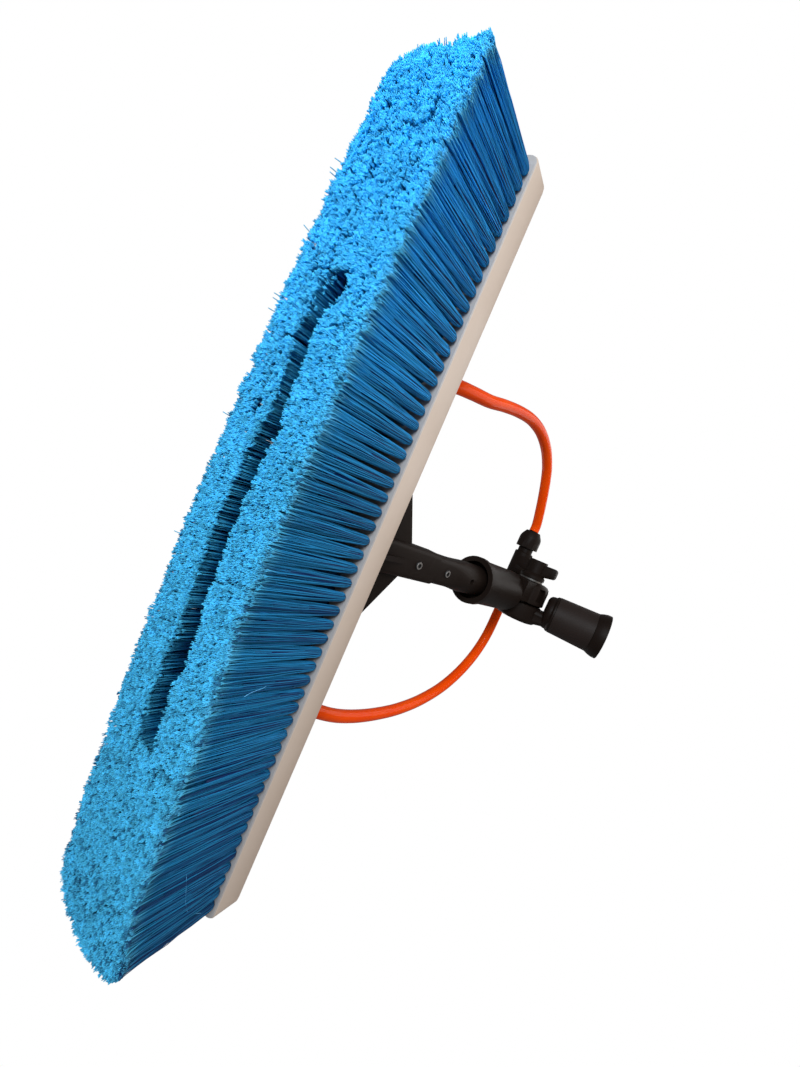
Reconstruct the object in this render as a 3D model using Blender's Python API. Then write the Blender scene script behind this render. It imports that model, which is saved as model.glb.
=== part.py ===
"""Facade cleaning brush: block, bristle fields, leaning handle mount, angle joint, pole socket, water feed.

Metres, +Z up. The brush stands on its bristle tips at z = 0. +X runs along the block, +Y is the side
that the handle leans to, and the origin is under the middle of the outline without the hoses.
"""
import math

import bmesh
import bpy
import numpy as np
from mathutils import Matrix

# Clearances and cutting
GAP = 0.0003            # left between pieces that touch
CUT_OVERRUN = 0.002     # how far a cutter runs past the face that it opens

# Block
BLOCK_LENGTH = 0.450
BLOCK_WIDTH = 0.063
BLOCK_THICKNESS = 0.018
BLOCK_CORNER_RADIUS = 0.006
BLOCK_EDGE_ROUND = 0.0012
END_RIM = 0.0063        # wall left outside the bristle backing at each end
SIDE_RIM = 0.0012       # and along each side

# Bristles
BRISTLE_LENGTH = 0.066
TUFT_COLUMNS = 53
TUFT_ROWS = 8
SLOT_ROWS = 2           # middle rows left out, where the water jets sit
TUFT_ROOT_WIDTH = 0.0047
TUFT_TIP_GAP = 0.0012
TIP_LENGTH_SHARE = 0.96     # the tips are trimmed and drawn in to this share of the backing's length
BACKING_THICKNESS = 0.002

# Water jets and their connectors
JET_FROM_PLATE = 0.0095         # room left between a connector's flange and the handle's plate
JET_TUFT_CLEARANCE = 0.0010     # between a jet's head and the nearest tuft
JET_STEM_RADIUS = 0.0040
JET_HEAD_RADIUS = 0.0055
JET_HEAD_HEIGHT = 0.0036
JET_HOLE_RADIUS = 0.0012
CONNECTOR_SEAT_SHARE = 0.5      # how deep in the block the two halves meet, of its thickness
SEAL_RADIUS = 0.0078
SEAL_THICKNESS = 0.0012
CONNECTOR_FLANGE_RADIUS = 0.0090
CONNECTOR_FLANGE_HEIGHT = 0.0040
CONNECTOR_NECK_RADIUS = 0.0066
CONNECTOR_NECK_HEIGHT = 0.0020
CONNECTOR_NUT_RADIUS = 0.0095
CONNECTOR_NUT_HEIGHT = 0.0110

# Hoses
HOSE_RADIUS = 0.0050
HOSE_BORE_RADIUS = 0.00325
HOSE_POINT_SPACING = 0.020
HOSE_LEAD_AT_BLOCK = 0.0060     # straight run out of a connector
HOSE_LEAD_AT_TEE = 0.0080       # and into the tee's nut

# Handle bracket
HANDLE_LEAN = math.radians(13.5)
PLATE_LENGTH = 0.192
PLATE_WIDTH = 0.046
PLATE_THICKNESS = 0.0035
PLATE_CORNER_RADIUS = 0.006
SLEEVE_REACH = 0.0845   # along the handle, from the block's back
SLEEVE_WALL = 0.0020
SLEEVE_CORNER_RADIUS = 0.0035
SLEEVE_FLARE = 0.0006   # the sleeve grows by this much towards its foot
SLEEVE_DEPTH_INSIDE = 0.044
LONG_FIN_FROM_REACH = 0.0283    # a fin's top is this much short of the sleeve's end
LONG_FIN_THICKNESS = 0.0040
SHORT_FIN_FROM_REACH = 0.0345
SHORT_FIN_THICKNESS = 0.0036
FIN_EDGE_STEP = 0.0010  # height of the square edge left at a fin's foot
BRACKET_SCREW_FROM_END = 0.015
BRACKET_SCREW_FROM_SIDE = 0.008
SCREW_SHANK_RADIUS = 0.0022
SCREW_HEAD_RADIUS = 0.0045
SCREW_HEAD_HEIGHT = 0.0026
SCREW_DEPTH_IN_BLOCK = 0.0110
SCREW_DRIVE_WIDTH = 0.0016
SCREW_DRIVE_DEPTH = 0.0013
SCREW_TURN_STEP = math.radians(36.0)    # each screw's slot is turned this much past the one before

# Handle stub and spigot, placed from the sleeve's end
STUB_WIDTH = 0.0184
STUB_DEPTH = 0.0146
STUB_WALL = 0.0024
STUB_CORNER_RADIUS = 0.0028
SPIGOT_OVERLAP = 0.0200
SPIGOT_SKIRT_WALL = 0.0013
SPIGOT_RADIUS = 0.0128
SPIGOT_FLAT_PAST_SLEEVE = 0.0195
SPIGOT_ROUND_PAST_SLEEVE = 0.0455
SPIGOT_END_PAST_SLEEVE = 0.1135
SPIGOT_END_CHAMFER = 0.0015
SPIGOT_HOLE_FROM_ROUND = 0.0010     # its cross holes start this much before the round part
SPIGOT_HOLE_RADIUS = 0.0022
SPIGOT_HOLE_DEPTH = 0.0060
LOWER_RIVET_IN_SLEEVE = 0.0220
UPPER_RIVET_PAST_SLEEVE = 0.0140
RIVET_RADIUS = 0.0019
RIVET_HEAD_RADIUS = 0.0032
RIVET_HEAD_HEIGHT = 0.0008
RIVET_BORE_RADIUS = 0.0012

# Angle joint head, on the spigot
HEAD_MOUTH_PAST_SLEEVE = 0.0615
HEAD_TUBE_LENGTH = 0.0630
HEAD_TUBE_RADIUS = 0.0190
HEAD_TUBE_WALL = 0.0028
HEAD_LIP_RADIUS = 0.0205
HEAD_LIP_LENGTH = 0.0060
HEAD_LIP_FADE = 0.0060
HEAD_BORE_DEPTH = 0.0560
BUSH_RECESS = 0.0090
BUSH_LENGTH = 0.0400

# Hinge between head and pole socket
JOINT_PAST_TUBE = 0.0270
JOINT_OFFSET = 0.0060   # to the leaning side of the handle's axis
POLE_LEAN = math.radians(80.0)
LUG_RADIUS = 0.0200
LUG_ROOT_SHARE = 0.6    # how deep an arm reaches into its lug, of the radius
HEAD_LUG_TOP = 0.0175
HEAD_LUG_CROWN = 0.0060
TOOTH_PLANE = -0.0040   # where the crests of the two toothed faces meet, along X
TOOTH_COUNT = 24
TOOTH_HEIGHT = 0.0012
TOOTH_INNER_RADIUS = 0.0110
TOOTH_OUTER_RADIUS = 0.0180
SOCKET_LUG_BOTTOM = -0.0225
SOCKET_LUG_CROWN = 0.0040
CROWN_STEPS = 3
LUG_POCKET_COUNT = 10
LUG_POCKET_WIDTH = 0.0078
LUG_POCKET_HEIGHT = 0.0125
LUG_POCKET_DEPTH = 0.0042
LUG_POCKET_FROM_TOP = 0.0038
NECK_CLEAR_ANGLE = math.radians(50.0)   # no pocket this near to the neck, round the lug

# Joint bolt, washer and wing knob
BOLT_RADIUS = 0.0040
BOLT_HEAD_FLAT = 0.0065
BOLT_HEAD_HEIGHT = 0.0052
BOLT_REACH_IN_KNOB = 0.0150
WASHER_RADIUS = 0.0110
WASHER_THICKNESS = 0.0016
KNOB_FLANGE_RADIUS = 0.0118
KNOB_FLANGE_HEIGHT = 0.0030
KNOB_HUB_RADIUS = 0.0088
KNOB_HEIGHT = 0.0185
KNOB_DISH_RADIUS = 0.0055
KNOB_DISH_DEPTH = 0.0012
WING_REACH = 0.0205
WING_THICKNESS = 0.0072
WING_FROM_BASE = 0.0045     # where a wing leaves the flange
WING_TIP_FROM_BASE = 0.0062
WING_TIP_HEIGHT = 0.0105
WING_CORNER_ROUND = 0.0030
WING_EDGE_SHARE = 0.82      # of a wing's outline on its flat sides, inside its rounded edge
KNOB_TURN = math.radians(8.0)   # how far the wings have been turned from the handle's lean plane

# Pole socket
SOCKET_OFFSET = -0.0040
SOCKET_FOOT_AT = 0.0225
SOCKET_FOOT_ROUND = 0.0050
SOCKET_TUBE_RADIUS = 0.0162
SOCKET_TUBE_END = 0.0790
SOCKET_WALL = 0.0022
SOCKET_BORE_DEPTH = 0.0500
SOCKET_SHOULDER_AT = 0.0320
SOCKET_SHOULDER_LENGTH = 0.0030
SOCKET_SHOULDER_RADIUS = 0.0176
GRIP_LENGTH = 0.0360
GRIP_START_WALL = 0.0014
GRIP_END_WALL = 0.0023
COLLAR_LENGTH = 0.0110
COLLAR_WALL = 0.0046
COLLAR_ROUND = 0.0020
ARM_HALF_WIDTH = 0.0122
ARM_CORNER_RADIUS = 0.0045
ARM_FOOT_SHARE = 0.97       # of the tube's radius, that the arm's end is drawn in to

# Water tee
TEE_ALONG_BLOCK = 0.0195
TEE_BEHIND_JOINT = 0.02843
TEE_ABOVE_JOINT = 0.04492
TEE_BODY_RADIUS = 0.0098
TEE_BODY_REACH = 0.0215
TEE_BODY_CHAMFER = 0.0008
TEE_BRANCH_RADIUS = 0.0090
TEE_NECK_RADIUS = 0.0078
TEE_NECK_LENGTH = 0.0050
TEE_BORE_RADIUS = 0.0032
TEE_INLET_BORE_RADIUS = 0.0027
TEE_NUT_RADIUS = 0.0116
TEE_NUT_HEIGHT = 0.0195
TEE_NUT_TIP_RADIUS = 0.0076
TEE_NUT_STRAIGHT_SHARE = 0.55
TEE_INLET_REACH = 0.0200
INLET_HOSE_CLEARANCE = 0.0004
INLET_SEAT_DEPTH = 0.0150

# Roundness
ROUND_SIDES = 32
SMALL_SIDES = 16
HOSE_BEVEL_RESOLUTION = 4
CORNER_STEPS = 5
FOOT_ROUND_STEPS = 3
SHARP_ANGLE = math.radians(35.0)

# Derived places, in the block's own frame: z = 0 at the tips, y = 0 at the block's middle
BLOCK_FRONT_Z = BRISTLE_LENGTH
BLOCK_BACK_Z = BRISTLE_LENGTH + BLOCK_THICKNESS
TUFT_PITCH = (BLOCK_LENGTH - 2 * (END_RIM + GAP)) / TUFT_COLUMNS
JET_FROM_CENTRE = PLATE_LENGTH / 2 + JET_FROM_PLATE + CONNECTOR_FLANGE_RADIUS
JET_STEM_REACH = JET_FROM_CENTRE + JET_STEM_RADIUS + 2 * GAP
JET_HEAD_REACH = JET_FROM_CENTRE + JET_HEAD_RADIUS + JET_TUFT_CLEARANCE + TUFT_ROOT_WIDTH / 2
SLOT_HALF_COLUMNS = math.ceil(max(JET_STEM_REACH / TUFT_PITCH - 1 / 2, JET_HEAD_REACH / TUFT_PITCH - 1))
SLOT_COLUMNS = 2 * SLOT_HALF_COLUMNS + 1    # an odd count of columns, as in the whole field
ROW_PITCH = (BLOCK_WIDTH - 2 * (SIDE_RIM + GAP)) / TUFT_ROWS
SIDE_ROWS = (TUFT_ROWS - SLOT_ROWS) // 2
END_COLUMNS = (TUFT_COLUMNS - SLOT_COLUMNS) // 2
SLOT_HALF_LENGTH = SLOT_COLUMNS * TUFT_PITCH / 2
SLOT_HALF_WIDTH = SLOT_ROWS * ROW_PITCH / 2
LONG_FIN_HEIGHT = SLEEVE_REACH - LONG_FIN_FROM_REACH
SHORT_FIN_HEIGHT = SLEEVE_REACH - SHORT_FIN_FROM_REACH
SPIGOT_START = SLEEVE_REACH + GAP
SPIGOT_FLAT_TO = SLEEVE_REACH + SPIGOT_FLAT_PAST_SLEEVE
SPIGOT_ROUND_FROM = SLEEVE_REACH + SPIGOT_ROUND_PAST_SLEEVE
SPIGOT_END = SLEEVE_REACH + SPIGOT_END_PAST_SLEEVE
SPIGOT_HOLE_AT = SPIGOT_ROUND_FROM - SPIGOT_HOLE_FROM_ROUND
LOWER_RIVET_AT = SLEEVE_REACH - LOWER_RIVET_IN_SLEEVE
UPPER_RIVET_AT = SLEEVE_REACH + UPPER_RIVET_PAST_SLEEVE
HEAD_MOUTH_AT = SLEEVE_REACH + HEAD_MOUTH_PAST_SLEEVE
HEAD_TUBE_END = HEAD_MOUTH_AT + HEAD_TUBE_LENGTH
JOINT_AT = HEAD_TUBE_END + JOINT_PAST_TUBE      # along the handle, from the block's back
JOINT_Y = JOINT_AT * math.sin(HANDLE_LEAN) + JOINT_OFFSET * math.cos(HANDLE_LEAN)
JOINT_Z = BLOCK_BACK_Z + JOINT_AT * math.cos(HANDLE_LEAN) - JOINT_OFFSET * math.sin(HANDLE_LEAN)
COLLAR_RADIUS = SOCKET_TUBE_RADIUS + GAP + COLLAR_WALL
OUTLINE_FAR_Y = -BLOCK_WIDTH / 2
OUTLINE_NEAR_Y = JOINT_Y + SOCKET_TUBE_END * math.sin(POLE_LEAN) + COLLAR_RADIUS * math.cos(POLE_LEAN)
PART_SHIFT_Y = -(OUTLINE_FAR_Y + OUTLINE_NEAR_Y) / 2
CONNECTOR_TOP_Z = (BLOCK_BACK_Z + GAP + SEAL_THICKNESS + GAP + CONNECTOR_FLANGE_HEIGHT
                   + CONNECTOR_NECK_HEIGHT + GAP + CONNECTOR_NUT_HEIGHT)
TEE_Y = JOINT_Y - TEE_BEHIND_JOINT
TEE_Z = JOINT_Z + TEE_ABOVE_JOINT
TEE_NUT_START = TEE_BODY_REACH + TEE_NECK_LENGTH
TEE_NUT_END = TEE_NUT_START + TEE_NUT_HEIGHT

# Middle of each hose's route, as shares of the way from the block's lead to the tee's, on x, y and z
UPPER_ROUTE_SHARES = [
    (-0.149, 0.129, 0.064), (-0.280, 0.228, 0.153), (-0.407, 0.320, 0.248),
    (-0.576, 0.403, 0.340), (-0.737, 0.495, 0.445), (-0.837, 0.591, 0.549),
    (-0.822, 0.689, 0.657), (-0.659, 0.782, 0.760), (-0.378, 0.855, 0.839),
    (-0.080, 0.902, 0.887), (0.288, 0.945, 0.931), (0.644, 0.975, 0.969),
]
LOWER_ROUTE_SHARES = [
    (-0.087, 0.123, 0.068), (-0.179, 0.240, 0.171), (-0.232, 0.354, 0.287),
    (-0.252, 0.465, 0.410), (-0.242, 0.563, 0.517), (-0.186, 0.674, 0.641),
    (-0.065, 0.788, 0.766), (0.106, 0.874, 0.862), (0.308, 0.939, 0.931),
    (0.518, 0.975, 0.976), (0.734, 0.994, 0.997),
]


def hose_route(side, middle_shares):
    """Route points of one hose, connector to tee; side is 1 for the upper hose, -1 for the lower."""
    block_x = side * JET_FROM_CENTRE
    tee_x = TEE_ALONG_BLOCK + side * TEE_NUT_END
    start = np.array((block_x, 0, CONNECTOR_TOP_Z + HOSE_LEAD_AT_BLOCK))
    end = np.array((tee_x + side * HOSE_LEAD_AT_TEE, TEE_Y, TEE_Z))
    middle = [tuple(start + np.array(shares) * (end - start)) for shares in middle_shares]
    block_end = (block_x, 0, CONNECTOR_TOP_Z + GAP)
    tee_end = (tee_x + side * GAP, TEE_Y, TEE_Z)
    return [block_end, tuple(start), *middle, tuple(end), tee_end]


def clear_scene():
    """Remove every object that the scene holds."""
    for item in list(bpy.data.objects):
        bpy.data.objects.remove(item, do_unlink=True)


def make_material(name, colour, roughness, metallic=0.0):
    """Make a Principled material."""
    material = bpy.data.materials.new(name)
    material.use_nodes = True
    shader = material.node_tree.nodes["Principled BSDF"]
    shader.inputs["Base Color"].default_value = (*colour, 1.0)
    shader.inputs["Roughness"].default_value = roughness
    shader.inputs["Metallic"].default_value = metallic
    material.diffuse_color = (*colour, 1.0)
    return material


def make_frame(name, location, rotation_x=0.0, parent=None):
    """Make an empty that carries pieces."""
    frame = bpy.data.objects.new(name, None)
    bpy.context.collection.objects.link(frame)
    frame.parent = parent
    frame.location = location
    frame.rotation_euler = (rotation_x, 0, 0)
    return frame


def make_object(name, mesh_builder, material, parent, location=(0, 0, 0), rotation=(0, 0, 0)):
    """Turn a bmesh into a named object under its frame, shaded smooth with sharp creases."""
    bmesh.ops.recalc_face_normals(mesh_builder, faces=mesh_builder.faces)
    mesh = bpy.data.meshes.new(name)
    mesh_builder.to_mesh(mesh)
    mesh_builder.free()
    mesh.shade_smooth()
    mesh.set_sharp_from_angle(angle=SHARP_ANGLE)
    item = bpy.data.objects.new(name, mesh)
    bpy.context.collection.objects.link(item)
    if material:
        mesh.materials.append(material)
    item.parent = parent
    item.location = location
    item.rotation_euler = rotation
    return item


def combine(target, tool, operation):
    """Add a Boolean to target, and keep its tool as a hidden guide."""
    tool.hide_render = True
    tool.display_type = "WIRE"
    modifier = target.modifiers.new(tool.name, "BOOLEAN")
    modifier.operation = operation
    modifier.object = tool
    modifier.solver = "EXACT"


def cut(target, tool):
    """Take tool out of target."""
    combine(target, tool, "DIFFERENCE")


def join(target, tool):
    """Fuse tool with target."""
    combine(target, tool, "UNION")


def circle_points(radius, sides, start=0.0):
    """Points of a regular outline round the origin."""
    angles = [start + math.tau * i / sides for i in range(sides)]
    return [(radius * math.cos(angle), radius * math.sin(angle)) for angle in angles]


def rounded_rectangle(length, width, radius, steps=CORNER_STEPS):
    """Outline of a rectangle with round corners, counter-clockwise."""
    points = []
    corner_signs = ((1, 1), (-1, 1), (-1, -1), (1, -1))
    for quarter, (sign_x, sign_y) in enumerate(corner_signs):
        centre_x = sign_x * (length / 2 - radius)
        centre_y = sign_y * (width / 2 - radius)
        for step in range(steps + 1):
            angle = math.pi / 2 * (quarter + step / steps)
            points.append((centre_x + radius * math.cos(angle), centre_y + radius * math.sin(angle)))
    return points


def loft(sections):
    """Build a closed solid through sections, each an outline of (x, y) points at a height z."""
    builder = bmesh.new()
    rings = [[builder.verts.new((x, y, z)) for x, y in outline] for outline, z in sections]
    for lower, upper in zip(rings, rings[1:]):
        for i in range(len(lower)):
            j = (i + 1) % len(lower)
            builder.faces.new((lower[i], lower[j], upper[j], upper[i]))
    builder.faces.new(list(reversed(rings[0])))
    builder.faces.new(rings[-1])
    return builder


def turned(profile, sides=ROUND_SIDES, start=0.0):
    """Turn a profile of (radius, z) points round Z. A profile off the axis closes on itself as a ring."""
    builder = bmesh.new()
    rings = []
    for radius, z in profile:
        if radius == 0:
            rings.append([builder.verts.new((0, 0, z))])
        else:
            rings.append([builder.verts.new((x, y, z)) for x, y in circle_points(radius, sides, start)])
    solid = profile[0][0] == 0
    pairs = list(zip(rings, rings[1:])) if solid else list(zip(rings, rings[1:] + rings[:1]))
    for first, second in pairs:
        for i in range(sides):
            j = (i + 1) % sides
            if len(first) == 1:
                builder.faces.new((first[0], second[j], second[i]))
            elif len(second) == 1:
                builder.faces.new((first[i], first[j], second[0]))
            else:
                builder.faces.new((first[i], first[j], second[j], second[i]))
    return builder


def cylinder(radius, low, high, sides=ROUND_SIDES):
    """Solid cylinder along Z from low to high."""
    return loft([(circle_points(radius, sides), low), (circle_points(radius, sides), high)])


def box(low, high):
    """Solid box between two corners."""
    outline = [(low[0], low[1]), (high[0], low[1]), (high[0], high[1]), (low[0], high[1])]
    return loft([(outline, low[2]), (outline, high[2])])


def laid_along_x(builder):
    """Turn a shape made along Z so that it runs along +X, with its own X pointing down."""
    bmesh.ops.transform(builder, matrix=Matrix.Rotation(math.pi / 2, 4, "Y"), verts=builder.verts)
    return builder


def laid_along_y(builder):
    """Turn a shape made along Z so that it runs along +Y."""
    bmesh.ops.transform(builder, matrix=Matrix.Rotation(-math.pi / 2, 4, "X"), verts=builder.verts)
    return builder


# Block

def field_span(columns, rows):
    """Corners of the backing under a block of tuft cells, given as (first, past last) index pairs."""
    low_x = (columns[0] - TUFT_COLUMNS / 2) * TUFT_PITCH
    high_x = (columns[1] - TUFT_COLUMNS / 2) * TUFT_PITCH
    low_y = (rows[0] - TUFT_ROWS / 2) * ROW_PITCH
    high_y = (rows[1] - TUFT_ROWS / 2) * ROW_PITCH
    return low_x, high_x, low_y, high_y


def build_block(parent, material):
    """Block with rounded edges, a shallow bed for the bristle backing, jet holes and screw holes."""
    soft = BLOCK_EDGE_ROUND
    outline = rounded_rectangle(BLOCK_LENGTH, BLOCK_WIDTH, BLOCK_CORNER_RADIUS)
    inner = rounded_rectangle(BLOCK_LENGTH - 2 * soft, BLOCK_WIDTH - 2 * soft, BLOCK_CORNER_RADIUS - soft / 2)
    middle_share = 1 - math.cos(math.pi / 4)
    middle = rounded_rectangle(BLOCK_LENGTH - 2 * soft * middle_share,
                               BLOCK_WIDTH - 2 * soft * middle_share, BLOCK_CORNER_RADIUS)
    block = make_object("brush_block", loft([
        (inner, BLOCK_FRONT_Z), (middle, BLOCK_FRONT_Z + soft * middle_share),
        (outline, BLOCK_FRONT_Z + soft),
        (outline, BLOCK_BACK_Z - soft), (middle, BLOCK_BACK_Z - soft * middle_share), (inner, BLOCK_BACK_Z),
    ]), material, parent)
    half_x = BLOCK_LENGTH / 2 - END_RIM
    half_y = BLOCK_WIDTH / 2 - SIDE_RIM
    low = BLOCK_FRONT_Z - CUT_OVERRUN
    high = BLOCK_FRONT_Z + BACKING_THICKNESS + GAP
    slot_x = SLOT_HALF_LENGTH - GAP
    slot_y = SLOT_HALF_WIDTH - GAP
    beds = {
        "bed_upper_end": ((slot_x, -half_y), (half_x, half_y)),
        "bed_lower_end": ((-half_x, -half_y), (-slot_x, half_y)),
        "bed_near": ((-slot_x - CUT_OVERRUN, slot_y), (slot_x + CUT_OVERRUN, half_y)),
        "bed_far": ((-slot_x - CUT_OVERRUN, -half_y), (slot_x + CUT_OVERRUN, -slot_y)),
    }
    for name, (near_corner, far_corner) in beds.items():
        cut(block, make_object(name, box((*near_corner, low), (*far_corner, high)), None, parent))
    for sign in (1, -1):
        hole = cylinder(JET_STEM_RADIUS + GAP, low, BLOCK_BACK_Z + CUT_OVERRUN, SMALL_SIDES)
        cut(block, make_object(f"jet_hole_{sign}", hole, None, parent, (sign * JET_FROM_CENTRE, 0, 0)))
    for number, (x, y) in enumerate(bracket_screw_places(), 1):
        hole = cylinder(SCREW_SHANK_RADIUS + GAP, BLOCK_BACK_Z - SCREW_DEPTH_IN_BLOCK - GAP,
                        BLOCK_BACK_Z + CUT_OVERRUN, SMALL_SIDES)
        cut(block, make_object(f"block_screw_hole_{number}", hole, None, parent, (x, y, 0)))


# Bristle fields

def build_bristle_field(name, columns, rows, parent, material):
    """One strand a tuft: a square tuft that spreads towards its tip, fused to a slice of backing."""
    low_x, high_x, low_y, high_y = field_span(columns, rows)
    trim = GAP / 2
    xs = np.linspace(low_x, high_x, columns[1] - columns[0] + 1)
    ys = np.linspace(low_y, high_y, rows[1] - rows[0] + 1)
    edge_xs, edge_ys = xs.copy(), ys.copy()
    edge_xs[0] += trim
    edge_xs[-1] -= trim
    edge_ys[0] += trim
    edge_ys[-1] -= trim
    front = BLOCK_FRONT_Z
    back = BLOCK_FRONT_Z + BACKING_THICKNESS
    builder = bmesh.new()
    lower = [[builder.verts.new((x, y, front)) for y in edge_ys] for x in edge_xs]
    upper = [[builder.verts.new((x, y, back)) for y in (edge_ys[0], edge_ys[-1])]
             for x in (edge_xs[0], edge_xs[-1])]
    corner_signs = ((-1, -1), (1, -1), (1, 1), (-1, 1))
    root = TUFT_ROOT_WIDTH / 2
    tip_x = (TUFT_PITCH * TIP_LENGTH_SHARE - TUFT_TIP_GAP) / 2
    tip_y = (ROW_PITCH - TUFT_TIP_GAP) / 2
    for i in range(len(xs) - 1):
        for j in range(len(ys) - 1):
            centre_x = (xs[i] + xs[i + 1]) / 2
            centre_y = (ys[j] + ys[j + 1]) / 2
            cell = [lower[i][j], lower[i + 1][j], lower[i + 1][j + 1], lower[i][j + 1]]
            foot = [builder.verts.new((centre_x + a * root, centre_y + b * root, front))
                    for a, b in corner_signs]
            drawn_x = centre_x * TIP_LENGTH_SHARE
            tip = [builder.verts.new((drawn_x + a * tip_x, centre_y + b * tip_y, 0))
                   for a, b in corner_signs]
            for k in range(4):
                m = (k + 1) % 4
                builder.faces.new((cell[k], cell[m], foot[m], foot[k]))
                builder.faces.new((foot[k], foot[m], tip[m], tip[k]))
            builder.faces.new(tip)
    for side in (0, -1):
        builder.faces.new([row[side] for row in lower] + [upper[-1][side], upper[0][side]])
        builder.faces.new(lower[side] + [upper[side][-1], upper[side][0]])
    builder.faces.new((upper[0][0], upper[-1][0], upper[-1][-1], upper[0][-1]))
    make_object(name, builder, material, parent)


def build_bristles(parent, material):
    """Four fields that leave a long slot in the middle for the water jets."""
    first, last = END_COLUMNS, TUFT_COLUMNS - END_COLUMNS
    build_bristle_field("upper_end_bristles", (last, TUFT_COLUMNS), (0, TUFT_ROWS), parent, material)
    build_bristle_field("lower_end_bristles", (0, first), (0, TUFT_ROWS), parent, material)
    build_bristle_field("near_bristles", (first, last), (TUFT_ROWS - SIDE_ROWS, TUFT_ROWS), parent, material)
    build_bristle_field("far_bristles", (first, last), (0, SIDE_ROWS), parent, material)


# Handle bracket

def bracket_screw_places():
    """The four screws near the plate's corners."""
    x = PLATE_LENGTH / 2 - BRACKET_SCREW_FROM_END
    y = PLATE_WIDTH / 2 - BRACKET_SCREW_FROM_SIDE
    return [(x, y), (-x, y), (-x, -y), (x, -y)]


def build_bracket(parent, handle, material):
    """Foot plate, leaning sleeve for the stub, two long fins and two short ones, as one moulding."""
    plate_low = BLOCK_BACK_Z + GAP
    plate_top = plate_low + PLATE_THICKNESS
    bore_width = STUB_WIDTH + 2 * GAP
    bore_depth = STUB_DEPTH + 2 * GAP
    top_outline = rounded_rectangle(bore_width + 2 * SLEEVE_WALL, bore_depth + 2 * SLEEVE_WALL,
                                    SLEEVE_CORNER_RADIUS)
    foot_outline = rounded_rectangle(bore_width + 2 * (SLEEVE_WALL + SLEEVE_FLARE),
                                     bore_depth + 2 * (SLEEVE_WALL + SLEEVE_FLARE), SLEEVE_CORNER_RADIUS)
    foot_z = -PLATE_WIDTH / 2 * math.sin(HANDLE_LEAN)
    bracket = make_object("handle_bracket", loft([(foot_outline, foot_z), (top_outline, SLEEVE_REACH)]),
                          material, handle)

    long_base = PLATE_LENGTH / 2 - FIN_EDGE_STEP
    sleeve_half = bore_width / 2 + SLEEVE_WALL
    long_fin = [(-long_base, foot_z), (long_base, foot_z), (long_base, PLATE_THICKNESS + FIN_EDGE_STEP),
                (sleeve_half, LONG_FIN_HEIGHT), (-sleeve_half, LONG_FIN_HEIGHT),
                (-long_base, PLATE_THICKNESS + FIN_EDGE_STEP)]
    half = LONG_FIN_THICKNESS / 2
    outline = [(x, -z) for x, z in long_fin]
    fin = laid_along_y(loft([(outline, -half), (outline, half)]))
    join(bracket, make_object("long_fin_guide", fin, None, handle))

    short_base = PLATE_WIDTH / 2 - FIN_EDGE_STEP
    sleeve_side = bore_depth / 2 + SLEEVE_WALL
    foot_drop = short_base * math.sin(HANDLE_LEAN)
    short_fin = [(-short_base, foot_z), (short_base, foot_z),
                 (short_base, PLATE_THICKNESS + FIN_EDGE_STEP - foot_drop), (sleeve_side, SHORT_FIN_HEIGHT),
                 (-sleeve_side, SHORT_FIN_HEIGHT), (-short_base, PLATE_THICKNESS + FIN_EDGE_STEP + foot_drop)]
    half = SHORT_FIN_THICKNESS / 2
    outline = [(-z, y) for y, z in short_fin]
    fin = laid_along_x(loft([(outline, -half), (outline, half)]))
    join(bracket, make_object("short_fin_guide", fin, None, handle))

    trim_reach = PLATE_LENGTH
    under = box((-trim_reach, -trim_reach, -trim_reach),
                (trim_reach, trim_reach, plate_low + PLATE_THICKNESS / 2))
    cut(bracket, make_object("bracket_foot_trim", under, None, parent))
    plate_outline = rounded_rectangle(PLATE_LENGTH, PLATE_WIDTH, PLATE_CORNER_RADIUS)
    plate = loft([(plate_outline, plate_low), (plate_outline, plate_top)])
    join(bracket, make_object("bracket_plate_guide", plate, None, parent))

    bore = rounded_rectangle(bore_width, bore_depth, STUB_CORNER_RADIUS + GAP)
    pocket = loft([(bore, SLEEVE_REACH - SLEEVE_DEPTH_INSIDE), (bore, SLEEVE_REACH + CUT_OVERRUN)])
    cut(bracket, make_object("sleeve_bore", pocket, None, handle))
    cut(bracket, make_object("sleeve_rivet_hole", rivet_hole(), None, handle, (0, 0, LOWER_RIVET_AT)))
    for number, (x, y) in enumerate(bracket_screw_places(), 1):
        hole = cylinder(SCREW_SHANK_RADIUS + GAP, plate_low - CUT_OVERRUN, plate_top + CUT_OVERRUN,
                        SMALL_SIDES)
        cut(bracket, make_object(f"plate_screw_hole_{number}", hole, None, parent, (x, y, 0)))


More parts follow.
